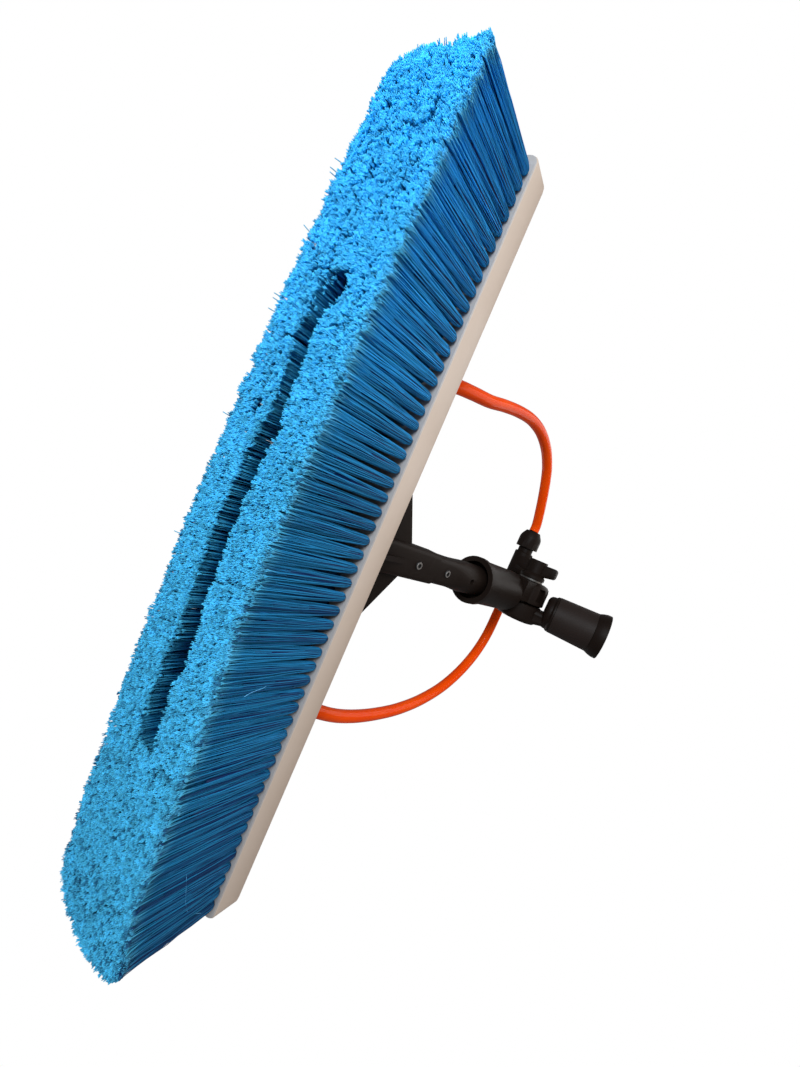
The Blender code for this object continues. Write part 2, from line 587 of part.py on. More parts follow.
def build_screws(parent, material):
    """Four pan-head screws through the plate into the block, each with a slot for the driver."""
    seat = GAP * 2 + PLATE_THICKNESS
    crown_share = 0.35
    top = seat + SCREW_HEAD_HEIGHT
    profile = [(0, -SCREW_DEPTH_IN_BLOCK), (SCREW_SHANK_RADIUS, -SCREW_DEPTH_IN_BLOCK),
               (SCREW_SHANK_RADIUS, seat), (SCREW_HEAD_RADIUS, seat),
               (SCREW_HEAD_RADIUS, top - SCREW_HEAD_HEIGHT * crown_share),
               (SCREW_HEAD_RADIUS * (1 - crown_share), top), (0, top)]
    for number, (x, y) in enumerate(bracket_screw_places(), 1):
        screw = make_object(f"bracket_screw_{number}", turned(profile, SMALL_SIDES), material, parent,
                            (x, y, BLOCK_BACK_Z))
        reach = SCREW_HEAD_RADIUS + CUT_OVERRUN
        slot = box((-reach, -SCREW_DRIVE_WIDTH / 2, top - SCREW_DRIVE_DEPTH),
                   (reach, SCREW_DRIVE_WIDTH / 2, top + CUT_OVERRUN))
        cut(screw, make_object(f"screw_slot_{number}", slot, None, parent, (x, y, BLOCK_BACK_Z),
                               (0, 0, SCREW_TURN_STEP * number)))


# Stub, spigot and rivets

def rivet_hole():
    """Cutter for a rivet's hole, along Y through the sleeve, the stub or the spigot."""
    reach = STUB_WIDTH
    return laid_along_y(cylinder(RIVET_RADIUS + GAP, -reach, reach, SMALL_SIDES))


def build_stub(handle, material):
    """Rectangular tube in the sleeve, with both rivet holes."""
    low = SLEEVE_REACH - SLEEVE_DEPTH_INSIDE + GAP
    high = SPIGOT_START + SPIGOT_OVERLAP
    outer = rounded_rectangle(STUB_WIDTH, STUB_DEPTH, STUB_CORNER_RADIUS)
    inner = rounded_rectangle(STUB_WIDTH - 2 * STUB_WALL, STUB_DEPTH - 2 * STUB_WALL,
                              STUB_CORNER_RADIUS - STUB_WALL / 2)
    stub = make_object("handle_stub", loft([(outer, low), (outer, high)]), material, handle)
    hollow = loft([(inner, low - CUT_OVERRUN), (inner, high + CUT_OVERRUN)])
    cut(stub, make_object("stub_hollow", hollow, None, handle))
    for name, at in (("stub_lower_rivet_hole", LOWER_RIVET_AT), ("stub_upper_rivet_hole", UPPER_RIVET_AT)):
        cut(stub, make_object(name, rivet_hole(), None, handle, (0, 0, at)))


def build_spigot(handle, material):
    """Skirt over the stub that turns into a round spigot, with a blind cross hole near the mouth."""
    steps = CORNER_STEPS
    width = STUB_WIDTH + 2 * (GAP + SPIGOT_SKIRT_WALL)
    depth = STUB_DEPTH + 2 * (GAP + SPIGOT_SKIRT_WALL)
    skirt = rounded_rectangle(width, depth, STUB_CORNER_RADIUS + GAP + SPIGOT_SKIRT_WALL, steps)
    quarter_points = []
    for quarter in range(4):
        for step in range(steps + 1):
            angle = math.pi / 2 * (quarter + (step + 1 / 2) / (steps + 1))
            quarter_points.append((SPIGOT_RADIUS * math.cos(angle), SPIGOT_RADIUS * math.sin(angle)))

    def blend(share):
        return [(a[0] + (b[0] - a[0]) * share, a[1] + (b[1] - a[1]) * share)
                for a, b in zip(skirt, quarter_points)]

    sections = [(skirt, SPIGOT_START), (skirt, SPIGOT_FLAT_TO)]
    blend_shares = (0.1, 0.35, 0.7, 0.92, 1.0)
    rise = (SPIGOT_ROUND_FROM - SPIGOT_FLAT_TO) / len(blend_shares)
    for i, share in enumerate(blend_shares, 1):
        sections.append((blend(share), SPIGOT_FLAT_TO + rise * i))
    nose_share = (SPIGOT_RADIUS - SPIGOT_END_CHAMFER) / SPIGOT_RADIUS
    sections.append((quarter_points, SPIGOT_END - SPIGOT_END_CHAMFER))
    sections.append(([(x * nose_share, y * nose_share) for x, y in quarter_points], SPIGOT_END))
    spigot = make_object("spigot", loft(sections), material, handle)
    pocket_outline = rounded_rectangle(STUB_WIDTH + 2 * GAP, STUB_DEPTH + 2 * GAP, STUB_CORNER_RADIUS + GAP)
    pocket = loft([(pocket_outline, SPIGOT_START - CUT_OVERRUN),
                   (pocket_outline, SPIGOT_START + SPIGOT_OVERLAP + GAP)])
    cut(spigot, make_object("spigot_pocket", pocket, None, handle))
    cut(spigot, make_object("spigot_rivet_hole", rivet_hole(), None, handle, (0, 0, UPPER_RIVET_AT)))
    hole = laid_along_y(cylinder(SPIGOT_HOLE_RADIUS, SPIGOT_RADIUS - SPIGOT_HOLE_DEPTH,
                                 SPIGOT_RADIUS + CUT_OVERRUN, SMALL_SIDES))
    cut(spigot, make_object("spigot_cross_hole", hole, None, handle, (0, 0, SPIGOT_HOLE_AT)))


def build_rivets(handle, material):
    """Two hollow rivets across the handle."""
    head_low = LOWER_RIVET_AT - RIVET_HEAD_RADIUS
    foot_z = -PLATE_WIDTH / 2 * math.sin(HANDLE_LEAN)
    taper_share = (SLEEVE_REACH - head_low) / (SLEEVE_REACH - foot_z)
    sleeve_half = STUB_DEPTH / 2 + GAP + SLEEVE_WALL + SLEEVE_FLARE * taper_share
    skirt_half = STUB_DEPTH / 2 + GAP + SPIGOT_SKIRT_WALL
    rivets = (("lower_rivet", LOWER_RIVET_AT, sleeve_half), ("upper_rivet", UPPER_RIVET_AT, skirt_half))
    for name, at, half in rivets:
        seat = half + GAP
        top = seat + RIVET_HEAD_HEIGHT
        rim = (RIVET_HEAD_RADIUS + RIVET_RADIUS) / 2
        profile = [(RIVET_BORE_RADIUS, -top), (rim, -top), (RIVET_HEAD_RADIUS, -seat), (RIVET_RADIUS, -seat),
                   (RIVET_RADIUS, seat), (RIVET_HEAD_RADIUS, seat), (rim, top), (RIVET_BORE_RADIUS, top)]
        make_object(name, laid_along_y(turned(profile, SMALL_SIDES)), material, handle, (0, 0, at))


# Angle joint head

def toothed_disc(radius, face_x, back_x, crown):
    """Disc along X with a round crown on its back and, on its face, radial teeth just short of face_x."""
    towards = 1 if face_x > back_x else -1
    crest = face_x - towards * GAP / 2
    valley = crest - towards * TOOTH_HEIGHT
    builder = bmesh.new()
    sides = 2 * TOOTH_COUNT

    def ring(ring_radius, heights):
        return [builder.verts.new((heights[i % 2], ring_radius * math.cos(math.tau * i / sides),
                                   ring_radius * math.sin(math.tau * i / sides))) for i in range(sides)]

    rings = []
    for step in range(CROWN_STEPS + 1):
        angle = math.pi / 2 * step / CROWN_STEPS
        level = back_x + towards * crown * (1 - math.sin(angle))
        rings.append(ring(radius - crown * (1 - math.cos(angle)), (level, level)))
    rings.reverse()
    rings += [ring(radius, (valley, valley)),
             ring(TOOTH_OUTER_RADIUS, (valley, crest)), ring(TOOTH_INNER_RADIUS, (valley, crest)),
             ring(BOLT_RADIUS + GAP, (valley, valley)), ring(BOLT_RADIUS + GAP, (back_x, back_x))]
    for first, second in zip(rings, rings[1:] + rings[:1]):
        for i in range(sides):
            j = (i + 1) % sides
            builder.faces.new((first[i], first[j], second[j], second[i]))
    return builder


def build_joint_head(handle, material):
    """Round socket on the spigot, closed at its end and carrying the toothed lug of the hinge."""
    lip_end = HEAD_MOUTH_AT + HEAD_LIP_LENGTH
    cap_round = HEAD_TUBE_WALL
    profile = [(0, HEAD_MOUTH_AT), (HEAD_LIP_RADIUS, HEAD_MOUTH_AT), (HEAD_LIP_RADIUS, lip_end),
               (HEAD_TUBE_RADIUS, lip_end + HEAD_LIP_FADE), (HEAD_TUBE_RADIUS, HEAD_TUBE_END - cap_round),
               (HEAD_TUBE_RADIUS - cap_round, HEAD_TUBE_END), (0, HEAD_TUBE_END)]
    head = make_object("joint_head", turned(profile), material, handle)
    joint_place = (0, JOINT_OFFSET, JOINT_AT)

    neck_low = TOOTH_PLANE + TOOTH_HEIGHT + 2 * GAP
    neck_half = HEAD_TUBE_RADIUS - abs(JOINT_OFFSET)
    neck = box((neck_low, -neck_half, HEAD_TUBE_END - HEAD_TUBE_WALL - JOINT_AT),
               (HEAD_LUG_TOP - 2 * GAP, neck_half, -LUG_RADIUS * LUG_ROOT_SHARE))
    join(head, make_object("head_neck_guide", neck, None, handle, joint_place))
    disc = toothed_disc(LUG_RADIUS, TOOTH_PLANE, HEAD_LUG_TOP, HEAD_LUG_CROWN)
    join(head, make_object("head_lug_guide", disc, None, handle, joint_place))

    bore_radius = HEAD_TUBE_RADIUS - HEAD_TUBE_WALL
    bore = cylinder(bore_radius, HEAD_MOUTH_AT - CUT_OVERRUN, HEAD_MOUTH_AT + HEAD_BORE_DEPTH)
    cut(head, make_object("head_bore", bore, None, handle))
    pocket_top = HEAD_LUG_TOP - LUG_POCKET_FROM_TOP
    for number in range(LUG_POCKET_COUNT):
        angle = math.tau * number / LUG_POCKET_COUNT
        if abs(angle - math.pi) < NECK_CLEAR_ANGLE:
            continue
        pocket = box((pocket_top - LUG_POCKET_HEIGHT, -LUG_POCKET_WIDTH / 2, LUG_RADIUS - LUG_POCKET_DEPTH),
                     (pocket_top, LUG_POCKET_WIDTH / 2, LUG_RADIUS + CUT_OVERRUN))
        cut(head, make_object(f"lug_pocket_{number}", pocket, None, handle, joint_place, (angle, 0, 0)))


def build_bush(handle, material):
    """Bush between the spigot and the head's bore."""
    low = HEAD_MOUTH_AT + BUSH_RECESS
    inner = SPIGOT_RADIUS + GAP
    outer = HEAD_TUBE_RADIUS - HEAD_TUBE_WALL - GAP
    profile = [(inner, low), (outer, low), (outer, low + BUSH_LENGTH), (inner, low + BUSH_LENGTH)]
    make_object("spigot_bush", turned(profile), material, handle)


# Hinge hardware

def build_bolt(pole, material):
    """Hexagon bolt along the hinge, its head sunk in the pole socket's lug."""
    head_low = SOCKET_LUG_BOTTOM + GAP
    knob_base = HEAD_LUG_TOP + GAP + WASHER_THICKNESS + GAP
    hexagon = circle_points(BOLT_HEAD_FLAT / math.cos(math.pi / 6), 6)
    bolt_head = loft([(hexagon, head_low), (hexagon, head_low + BOLT_HEAD_HEIGHT)])
    bolt = make_object("joint_bolt", laid_along_x(bolt_head), material, pole)
    shank = laid_along_x(cylinder(BOLT_RADIUS, head_low + BOLT_HEAD_HEIGHT / 2,
                                  knob_base + BOLT_REACH_IN_KNOB, SMALL_SIDES))
    join(bolt, make_object("bolt_shank_guide", shank, None, pole))


def build_washer(joint, material):
    """Flat washer under the wing knob."""
    low = HEAD_LUG_TOP + GAP
    inner = BOLT_RADIUS + GAP
    profile = [(inner, low), (WASHER_RADIUS, low), (WASHER_RADIUS, low + WASHER_THICKNESS),
               (inner, low + WASHER_THICKNESS)]
    make_object("knob_washer", laid_along_x(turned(profile)), material, joint)


def wing_shape(base, top, sign):
    """One wing: an outline of (reach, x) points with a rounded tip, thinner at its flat sides."""
    round_radius = WING_CORNER_ROUND
    tip_low = base + WING_TIP_FROM_BASE
    tip_high = tip_low + WING_TIP_HEIGHT
    outline = [(0, base + WING_FROM_BASE), (KNOB_HUB_RADIUS, base + WING_FROM_BASE)]
    for centre_x, first_angle in ((tip_low + round_radius, -math.pi / 2), (tip_high - round_radius, 0)):
        for step in range(CORNER_STEPS + 1):
            angle = first_angle + math.pi / 2 * step / CORNER_STEPS
            outline.append((WING_REACH - round_radius + round_radius * math.cos(angle),
                            centre_x + round_radius * math.sin(angle)))
    outline.append((0, top - 2 * KNOB_DISH_DEPTH))
    half = WING_THICKNESS / 2
    centre_reach, centre_x = WING_REACH / 2, (base + WING_FROM_BASE + top) / 2
    sections = []
    for z, share in ((-half, WING_EDGE_SHARE), (-half * WING_EDGE_SHARE, 1), (half * WING_EDGE_SHARE, 1),
                     (half, WING_EDGE_SHARE)):
        drawn_in = [(centre_x + (x - centre_x) * share,
                     sign * (centre_reach + (reach - centre_reach) * share)) for reach, x in outline]
        sections.append((drawn_in, z))
    return loft(sections)


def build_knob(joint, material):
    """Wing knob: flanged hub with two rounded wings and a blind bore for the bolt."""
    base = HEAD_LUG_TOP + 2 * GAP + WASHER_THICKNESS
    top = base + KNOB_HEIGHT
    profile = [(0, base), (KNOB_FLANGE_RADIUS, base), (KNOB_FLANGE_RADIUS, base + KNOB_FLANGE_HEIGHT),
               (KNOB_HUB_RADIUS, base + 2 * KNOB_FLANGE_HEIGHT), (KNOB_HUB_RADIUS, top),
               (KNOB_DISH_RADIUS, top), (KNOB_DISH_RADIUS, top - KNOB_DISH_DEPTH), (0, top - KNOB_DISH_DEPTH)]
    centre, turn = (0, 0, 0), (KNOB_TURN, 0, 0)
    knob = make_object("wing_knob", laid_along_x(turned(profile)), material, joint, centre, turn)
    for name, sign in (("right_wing_guide", 1), ("left_wing_guide", -1)):
        wing = wing_shape(base, top, sign)
        join(knob, make_object(name, wing, None, joint, centre, turn))
    bore = laid_along_x(cylinder(BOLT_RADIUS + GAP, base - CUT_OVERRUN,
                                 base + BOLT_REACH_IN_KNOB + GAP, SMALL_SIDES))
    cut(knob, make_object("knob_bore", bore, None, joint))


# Pole socket

def arm_sections(high_x, top):
    """Outlines of the arm between the lug and the tube, drawn in at its end to lie inside the tube."""
    low_x = SOCKET_LUG_BOTTOM + 2 * GAP
    middle_x = (low_x + high_x) / 2
    outline = [(middle_x + x, y) for x, y in
               rounded_rectangle(high_x - low_x, 2 * ARM_HALF_WIDTH, ARM_CORNER_RADIUS)]
    limit = SOCKET_TUBE_RADIUS * ARM_FOOT_SHARE
    drawn_in = []
    for x, y in outline:
        share = min(1, limit / math.hypot(x - SOCKET_OFFSET, y))
        drawn_in.append((SOCKET_OFFSET + (x - SOCKET_OFFSET) * share, y * share))
    return [(outline, LUG_RADIUS * LUG_ROOT_SHARE), (drawn_in, top)]


def build_pole_socket(pole, material):
    """Toothed lug and arm that carry a tube open at its far end for the pole."""
    tube_from = SOCKET_FOOT_AT + SOCKET_FOOT_ROUND
    foot = []
    for step in range(FOOT_ROUND_STEPS + 1):
        angle = math.pi / 2 * step / FOOT_ROUND_STEPS
        foot.append((SOCKET_TUBE_RADIUS - SOCKET_FOOT_ROUND * (1 - math.sin(angle)),
                     tube_from - SOCKET_FOOT_ROUND * math.cos(angle)))
    profile = [(0, SOCKET_FOOT_AT), *foot,
               (SOCKET_TUBE_RADIUS, SOCKET_SHOULDER_AT - SOCKET_SHOULDER_LENGTH),
               (SOCKET_SHOULDER_RADIUS, SOCKET_SHOULDER_AT - SOCKET_SHOULDER_LENGTH / 2),
               (SOCKET_SHOULDER_RADIUS, SOCKET_SHOULDER_AT), (SOCKET_TUBE_RADIUS, SOCKET_SHOULDER_AT),
               (SOCKET_TUBE_RADIUS, SOCKET_TUBE_END), (0, SOCKET_TUBE_END)]
    socket = make_object("pole_socket", turned(profile), material, pole, (SOCKET_OFFSET, 0, 0))
    arm = loft(arm_sections(TOOTH_PLANE - TOOTH_HEIGHT - 2 * GAP, tube_from))
    join(socket, make_object("socket_arm_guide", arm, None, pole))
    lug = toothed_disc(LUG_RADIUS, TOOTH_PLANE, SOCKET_LUG_BOTTOM, SOCKET_LUG_CROWN)
    join(socket, make_object("socket_lug_guide", lug, None, pole))
    hexagon = circle_points(BOLT_HEAD_FLAT / math.cos(math.pi / 6) + 2 * GAP, 6)
    pocket = laid_along_x(loft([(hexagon, SOCKET_LUG_BOTTOM - CUT_OVERRUN),
                                (hexagon, SOCKET_LUG_BOTTOM + BOLT_HEAD_HEIGHT + 2 * GAP)]))
    cut(socket, make_object("bolt_head_pocket", pocket, None, pole))
    bore = cylinder(SOCKET_TUBE_RADIUS - SOCKET_WALL, SOCKET_TUBE_END - SOCKET_BORE_DEPTH,
                    SOCKET_TUBE_END + CUT_OVERRUN)
    cut(socket, make_object("pole_bore", bore, None, pole, (SOCKET_OFFSET, 0, 0)))


def build_socket_trim(pole, grip_material, collar_material):
    """Grip sleeve over the socket's tube, and the flared collar at its mouth."""
    inner = SOCKET_TUBE_RADIUS + GAP
    grip_low = SOCKET_SHOULDER_AT + GAP
    grip_high = grip_low + GRIP_LENGTH
    profile = [(inner, grip_low), (inner + GRIP_START_WALL, grip_low), (inner + GRIP_END_WALL, grip_high),
               (inner, grip_high)]
    make_object("socket_grip", turned(profile), grip_material, pole, (SOCKET_OFFSET, 0, 0))
    collar_low = grip_high + GAP
    profile = [(inner, collar_low), (inner + GRIP_END_WALL, collar_low),
               (COLLAR_RADIUS - COLLAR_ROUND / 2, SOCKET_TUBE_END - COLLAR_LENGTH * 2 / 3),
               (COLLAR_RADIUS, SOCKET_TUBE_END - COLLAR_LENGTH / 3), (COLLAR_RADIUS, SOCKET_TUBE_END),
               (inner, SOCKET_TUBE_END)]
    make_object("socket_collar", turned(profile), collar_material, pole, (SOCKET_OFFSET, 0, 0))


# Water feed

def build_tee(feed, material):
    """Tee with two necks along X and one inlet neck up, bored through."""
    def leg(reach, radius):
        soft = TEE_BODY_CHAMFER
        return [(0, 0), (radius, 0), (radius, reach - soft), (radius - soft, reach), (TEE_NECK_RADIUS, reach),
                (TEE_NECK_RADIUS, reach + TEE_NECK_LENGTH), (0, reach + TEE_NECK_LENGTH)]

    run = leg(TEE_BODY_REACH, TEE_BODY_RADIUS)
    run = [(r, -z) for r, z in reversed(run)][:-2] + run[2:]
    tee = make_object("water_tee", laid_along_x(turned(run)), material, feed)
    half_facet = math.pi / ROUND_SIDES
    branch = turned(leg(TEE_INLET_REACH, TEE_BRANCH_RADIUS), ROUND_SIDES, half_facet)
    join(tee, make_object("tee_inlet_guide", branch, None, feed))
    inlet_end = TEE_INLET_REACH + TEE_NECK_LENGTH + CUT_OVERRUN
    inlet_bore = cylinder(TEE_INLET_BORE_RADIUS, TEE_BORE_RADIUS / 4, inlet_end, SMALL_SIDES)
    cut(tee, make_object("tee_inlet_bore", inlet_bore, None, feed))
    end = TEE_BODY_REACH + TEE_NECK_LENGTH + CUT_OVERRUN
    run_bore = laid_along_x(cylinder(TEE_BORE_RADIUS, -end, end, SMALL_SIDES))
    cut(tee, make_object("tee_run_bore", run_bore, None, feed))


def nut_sections(radius, tip_radius, low, high, straight_share, tip_sides=12):
    """Outlines of a faceted union nut that narrows to a round tip."""
    shoulder = low + (high - low) * straight_share
    notch_share = 0.94
    shares = [1 if i % 2 else notch_share for i in range(2 * tip_sides)]
    body = [(x * share, y * share) for (x, y), share in zip(circle_points(radius, 2 * tip_sides), shares)]
    tip = circle_points(tip_radius, 2 * tip_sides)
    middle = circle_points(radius * notch_share, 2 * tip_sides)
    return [(body, low), (body, shoulder), (middle, shoulder + (high - shoulder) / 3), (tip, high)]


def build_tee_nuts(feed, material):
    """Union nuts on the tee: two that hold the hoses, and one open for the supply hose."""
    for name, turn in (("upper_hose_nut", 0), ("lower_hose_nut", math.pi)):
        sections = nut_sections(TEE_NUT_RADIUS, TEE_NUT_TIP_RADIUS, TEE_NUT_START + GAP, TEE_NUT_END,
                                TEE_NUT_STRAIGHT_SHARE)
        nut = make_object(name, laid_along_x(loft(sections)), material, feed, (0, 0, 0), (0, 0, turn))
        bore = laid_along_x(cylinder(HOSE_BORE_RADIUS, TEE_NUT_START - CUT_OVERRUN,
                                     TEE_NUT_END + CUT_OVERRUN, SMALL_SIDES))
        cut(nut, make_object(f"{name}_bore", bore, None, feed, (0, 0, 0), (0, 0, turn)))
    low = TEE_INLET_REACH + TEE_NECK_LENGTH + GAP
    high = low + TEE_NUT_HEIGHT
    nut = make_object("inlet_nut", loft(nut_sections(TEE_NUT_RADIUS, TEE_NUT_TIP_RADIUS, low, high,
                                                     TEE_NUT_STRAIGHT_SHARE)), material, feed)
    seat = cylinder(HOSE_RADIUS + INLET_HOSE_CLEARANCE, high - INLET_SEAT_DEPTH, high + CUT_OVERRUN)
    cut(nut, make_object("inlet_seat", seat, None, feed))
    way = cylinder(TEE_INLET_BORE_RADIUS, low - CUT_OVERRUN, high, SMALL_SIDES)
    cut(nut, make_object("inlet_way", way, None, feed))


def build_connectors(parent, black, seal_material):
    """At each end of the slot: jet, connector through the block, seal and union nut."""
    meet_z = BLOCK_FRONT_Z + BLOCK_THICKNESS * CONNECTOR_SEAT_SHARE
    flange_low = BLOCK_BACK_Z + GAP + SEAL_THICKNESS + GAP
    neck_low = flange_low + CONNECTOR_FLANGE_HEIGHT
    neck_high = neck_low + CONNECTOR_NECK_HEIGHT
    nut_low = neck_high + GAP
    head_high = BLOCK_FRONT_Z - GAP
    head_low = head_high - JET_HEAD_HEIGHT
    crown_share = 0.7
    for side, sign in (("upper", 1), ("lower", -1)):
        place = (sign * JET_FROM_CENTRE, 0, 0)
        jet = [(JET_HOLE_RADIUS, head_low), (JET_HEAD_RADIUS * crown_share, head_low),
               (JET_HEAD_RADIUS, head_low + JET_HEAD_HEIGHT * (1 - crown_share)),
               (JET_HEAD_RADIUS, head_high), (JET_STEM_RADIUS, head_high), (JET_STEM_RADIUS, meet_z),
               (JET_HOLE_RADIUS, meet_z)]
        make_object(f"{side}_jet", turned(jet, SMALL_SIDES), black, parent, place)
        body = [(JET_HOLE_RADIUS, meet_z + GAP), (JET_STEM_RADIUS, meet_z + GAP),
                (JET_STEM_RADIUS, flange_low), (CONNECTOR_FLANGE_RADIUS, flange_low),
                (CONNECTOR_FLANGE_RADIUS, neck_low), (CONNECTOR_NECK_RADIUS, neck_low),
                (CONNECTOR_NECK_RADIUS, neck_high), (JET_HOLE_RADIUS, neck_high)]
        make_object(f"{side}_connector", turned(body, SMALL_SIDES), black, parent, place)
        seal = [(JET_STEM_RADIUS + GAP, BLOCK_BACK_Z + GAP), (SEAL_RADIUS, BLOCK_BACK_Z + GAP),
                (SEAL_RADIUS, BLOCK_BACK_Z + GAP + SEAL_THICKNESS),
                (JET_STEM_RADIUS + GAP, BLOCK_BACK_Z + GAP + SEAL_THICKNESS)]
        make_object(f"{side}_seal", turned(seal, SMALL_SIDES), seal_material, parent, place)
        tip_radius = (HOSE_RADIUS + CONNECTOR_NUT_RADIUS) / 2
        sections = nut_sections(CONNECTOR_NUT_RADIUS, tip_radius, nut_low, CONNECTOR_TOP_Z,
                                TEE_NUT_STRAIGHT_SHARE)
        nut = make_object(f"{side}_connector_nut", loft(sections), black, parent, place)
        bore = cylinder(HOSE_BORE_RADIUS, nut_low - CUT_OVERRUN, CONNECTOR_TOP_Z + CUT_OVERRUN, SMALL_SIDES)
        cut(nut, make_object(f"{side}_connector_nut_bore", bore, None, parent, place))


def smooth_route(points, spacing):
    """Read evenly spaced points off a smooth curve through the route's own points."""
    route = np.array(points, dtype=float)
    padded = np.vstack([2 * route[0] - route[1], route, 2 * route[-1] - route[-2]])
    steps = 24
    dense = []
    for i in range(1, len(padded) - 2):
        a, b, c, d = padded[i - 1:i + 3]
        for t in np.linspace(0, 1, steps, endpoint=False):
            dense.append(((2 * b) + (c - a) * t + (2 * a - 5 * b + 4 * c - d) * t ** 2
                          + (3 * b - a - 3 * c + d) * t ** 3) / 2)
    dense.append(route[-1])
    dense = np.array(dense)
    travel = np.concatenate([[0], np.cumsum(np.linalg.norm(np.diff(dense, axis=0), axis=1))])
    count = max(2, round(travel[-1] / spacing)) + 1
    stations = np.linspace(0, travel[-1], count)
    lead = np.linalg.norm(route[1] - route[0])
    tail = np.linalg.norm(route[-1] - route[-2])
    stations = np.concatenate([[0, lead], stations[2:-2], [travel[-1] - tail, travel[-1]]])
    return np.stack([np.interp(stations, travel, dense[:, k]) for k in range(3)], axis=1), travel[-1]


def build_hose(name, route, parent, material):
    """Round hose along its route, closed at both ends, which meet the nuts face to face."""
    points, length = smooth_route(route, HOSE_POINT_SPACING)
    curve = bpy.data.curves.new(name, "CURVE")
    curve.dimensions = "3D"
    curve.bevel_depth = HOSE_RADIUS
    curve.bevel_resolution = HOSE_BEVEL_RESOLUTION
    curve.use_fill_caps = True
    spline = curve.splines.new("POLY")
    spline.points.add(len(points) - 1)
    for point, place in zip(spline.points, points):
        point.co = (*place, 1)
    curve.materials.append(material)
    hose = bpy.data.objects.new(name, curve)
    bpy.context.collection.objects.link(hose)
    hose.parent = parent
    print(f"{name}: {length:.3f} long, {len(points)} points")


def main():
    """Build every piece in its frame."""
    clear_scene()
    white = make_material("block_white", (0.78, 0.74, 0.68), 0.45)
    blue = make_material("bristle_blue", (0.03, 0.33, 0.75), 0.55)
    black = make_material("moulded_black", (0.018, 0.017, 0.017), 0.5)
    grip_black = make_material("grip_black", (0.03, 0.028, 0.027), 0.6)
    aluminium = make_material("rivet_aluminium", (0.75, 0.74, 0.72), 0.3, 1.0)
    zinc = make_material("zinc_steel", (0.55, 0.54, 0.50), 0.35, 1.0)
    orange = make_material("hose_orange", (0.9, 0.12, 0.01), 0.3)
    seal = make_material("seal_rubber", (0.02, 0.02, 0.02), 0.8)

    part = make_frame("part_frame", (0, PART_SHIFT_Y, 0))
    handle = make_frame("handle_frame", (0, 0, BLOCK_BACK_Z), -HANDLE_LEAN, part)
    joint = make_frame("joint_frame", (0, JOINT_Y, JOINT_Z), -HANDLE_LEAN, part)
    pole = make_frame("pole_frame", (0, JOINT_Y, JOINT_Z), -POLE_LEAN, part)
    feed = make_frame("feed_frame", (TEE_ALONG_BLOCK, TEE_Y, TEE_Z), 0, part)

    build_block(part, white)
    build_bristles(part, blue)
    build_bracket(part, handle, black)
    build_screws(part, zinc)
    build_stub(handle, black)
    build_spigot(handle, black)
    build_rivets(handle, aluminium)
    build_joint_head(handle, black)
    build_bush(handle, black)
    build_bolt(pole, zinc)
    build_washer(joint, zinc)
    build_knob(joint, black)
    build_pole_socket(pole, black)
    build_socket_trim(pole, grip_black, black)
    build_tee(feed, black)
    build_tee_nuts(feed, black)
    build_connectors(part, black, seal)
    build_hose("upper_hose", hose_route(1, UPPER_ROUTE_SHARES), part, orange)
    build_hose("lower_hose", hose_route(-1, LOWER_ROUTE_SHARES), part, orange)
    bpy.context.view_layer.update()


main()
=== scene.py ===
"""Looks of the facade cleaning brush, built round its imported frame.

The brush stands on its bristle tips at z = 0, the block runs along X and the handle leans to +Y. All sizes
are in metres. Each sub-assembly is a class that makes its own meshes and dresses the frame's nodes.
"""
import logging
import math
from dataclasses import dataclass, field
from enum import Enum
from typing import ClassVar

import bpy
import numpy as np
from mathutils import Matrix, Vector


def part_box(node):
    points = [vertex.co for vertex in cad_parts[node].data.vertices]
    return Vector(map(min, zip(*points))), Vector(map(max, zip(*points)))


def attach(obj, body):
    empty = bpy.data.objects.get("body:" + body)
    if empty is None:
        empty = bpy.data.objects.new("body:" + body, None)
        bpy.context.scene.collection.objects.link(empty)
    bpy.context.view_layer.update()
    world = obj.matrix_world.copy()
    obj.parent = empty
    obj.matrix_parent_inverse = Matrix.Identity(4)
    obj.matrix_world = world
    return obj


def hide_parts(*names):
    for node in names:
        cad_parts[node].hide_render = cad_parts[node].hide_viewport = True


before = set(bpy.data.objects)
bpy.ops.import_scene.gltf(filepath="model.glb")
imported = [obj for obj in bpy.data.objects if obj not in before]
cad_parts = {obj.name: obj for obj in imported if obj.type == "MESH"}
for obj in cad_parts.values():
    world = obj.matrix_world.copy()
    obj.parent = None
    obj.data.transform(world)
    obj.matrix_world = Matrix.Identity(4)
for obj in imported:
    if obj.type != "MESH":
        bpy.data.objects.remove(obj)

Span = tuple[float, float]
Colour = tuple[float, float, float]
Point = tuple[float, float, float]
Line = tuple[Span, ...]

LOG = logging.getLogger("facade_brush")
BODY_HEAD = "head"
GOLDEN_ANGLE = math.pi * (3 - math.sqrt(5))
FULL_SPAN = (0.0, 1.0)
WHITE = (1.0, 1.0, 1.0, 1.0)


class Slot(Enum):
    """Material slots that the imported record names."""

    BLOCK = "block_white"
    BRISTLE = "bristle_blue"
    BLACK = "moulded_black"
    GRIP = "grip_black"
    ALUMINIUM = "rivet_aluminium"
    ZINC = "zinc_steel"
    HOSE = "hose_orange"
    RUBBER = "seal_rubber"


class Effect(Enum):
    """Shader effects that more than one finish uses."""

    GRAIN = "moulded_grain"
    CLOUDING = "colour_clouding"
    SCUFFS = "light_scuffs"


# Small helpers


def frame_shift_y() -> float:
    """Give how far the part's own frame lies from the block's middle, read off the block's node."""
    low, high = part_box("brush_block")
    return (low.y + high.y) / 2


def progress(value: float, span: Span) -> float:
    """Tell how far a value has come along a span, from 0 at its start to 1 at its end."""
    return min(1.0, max(0.0, (value - span[0]) / (span[1] - span[0])))


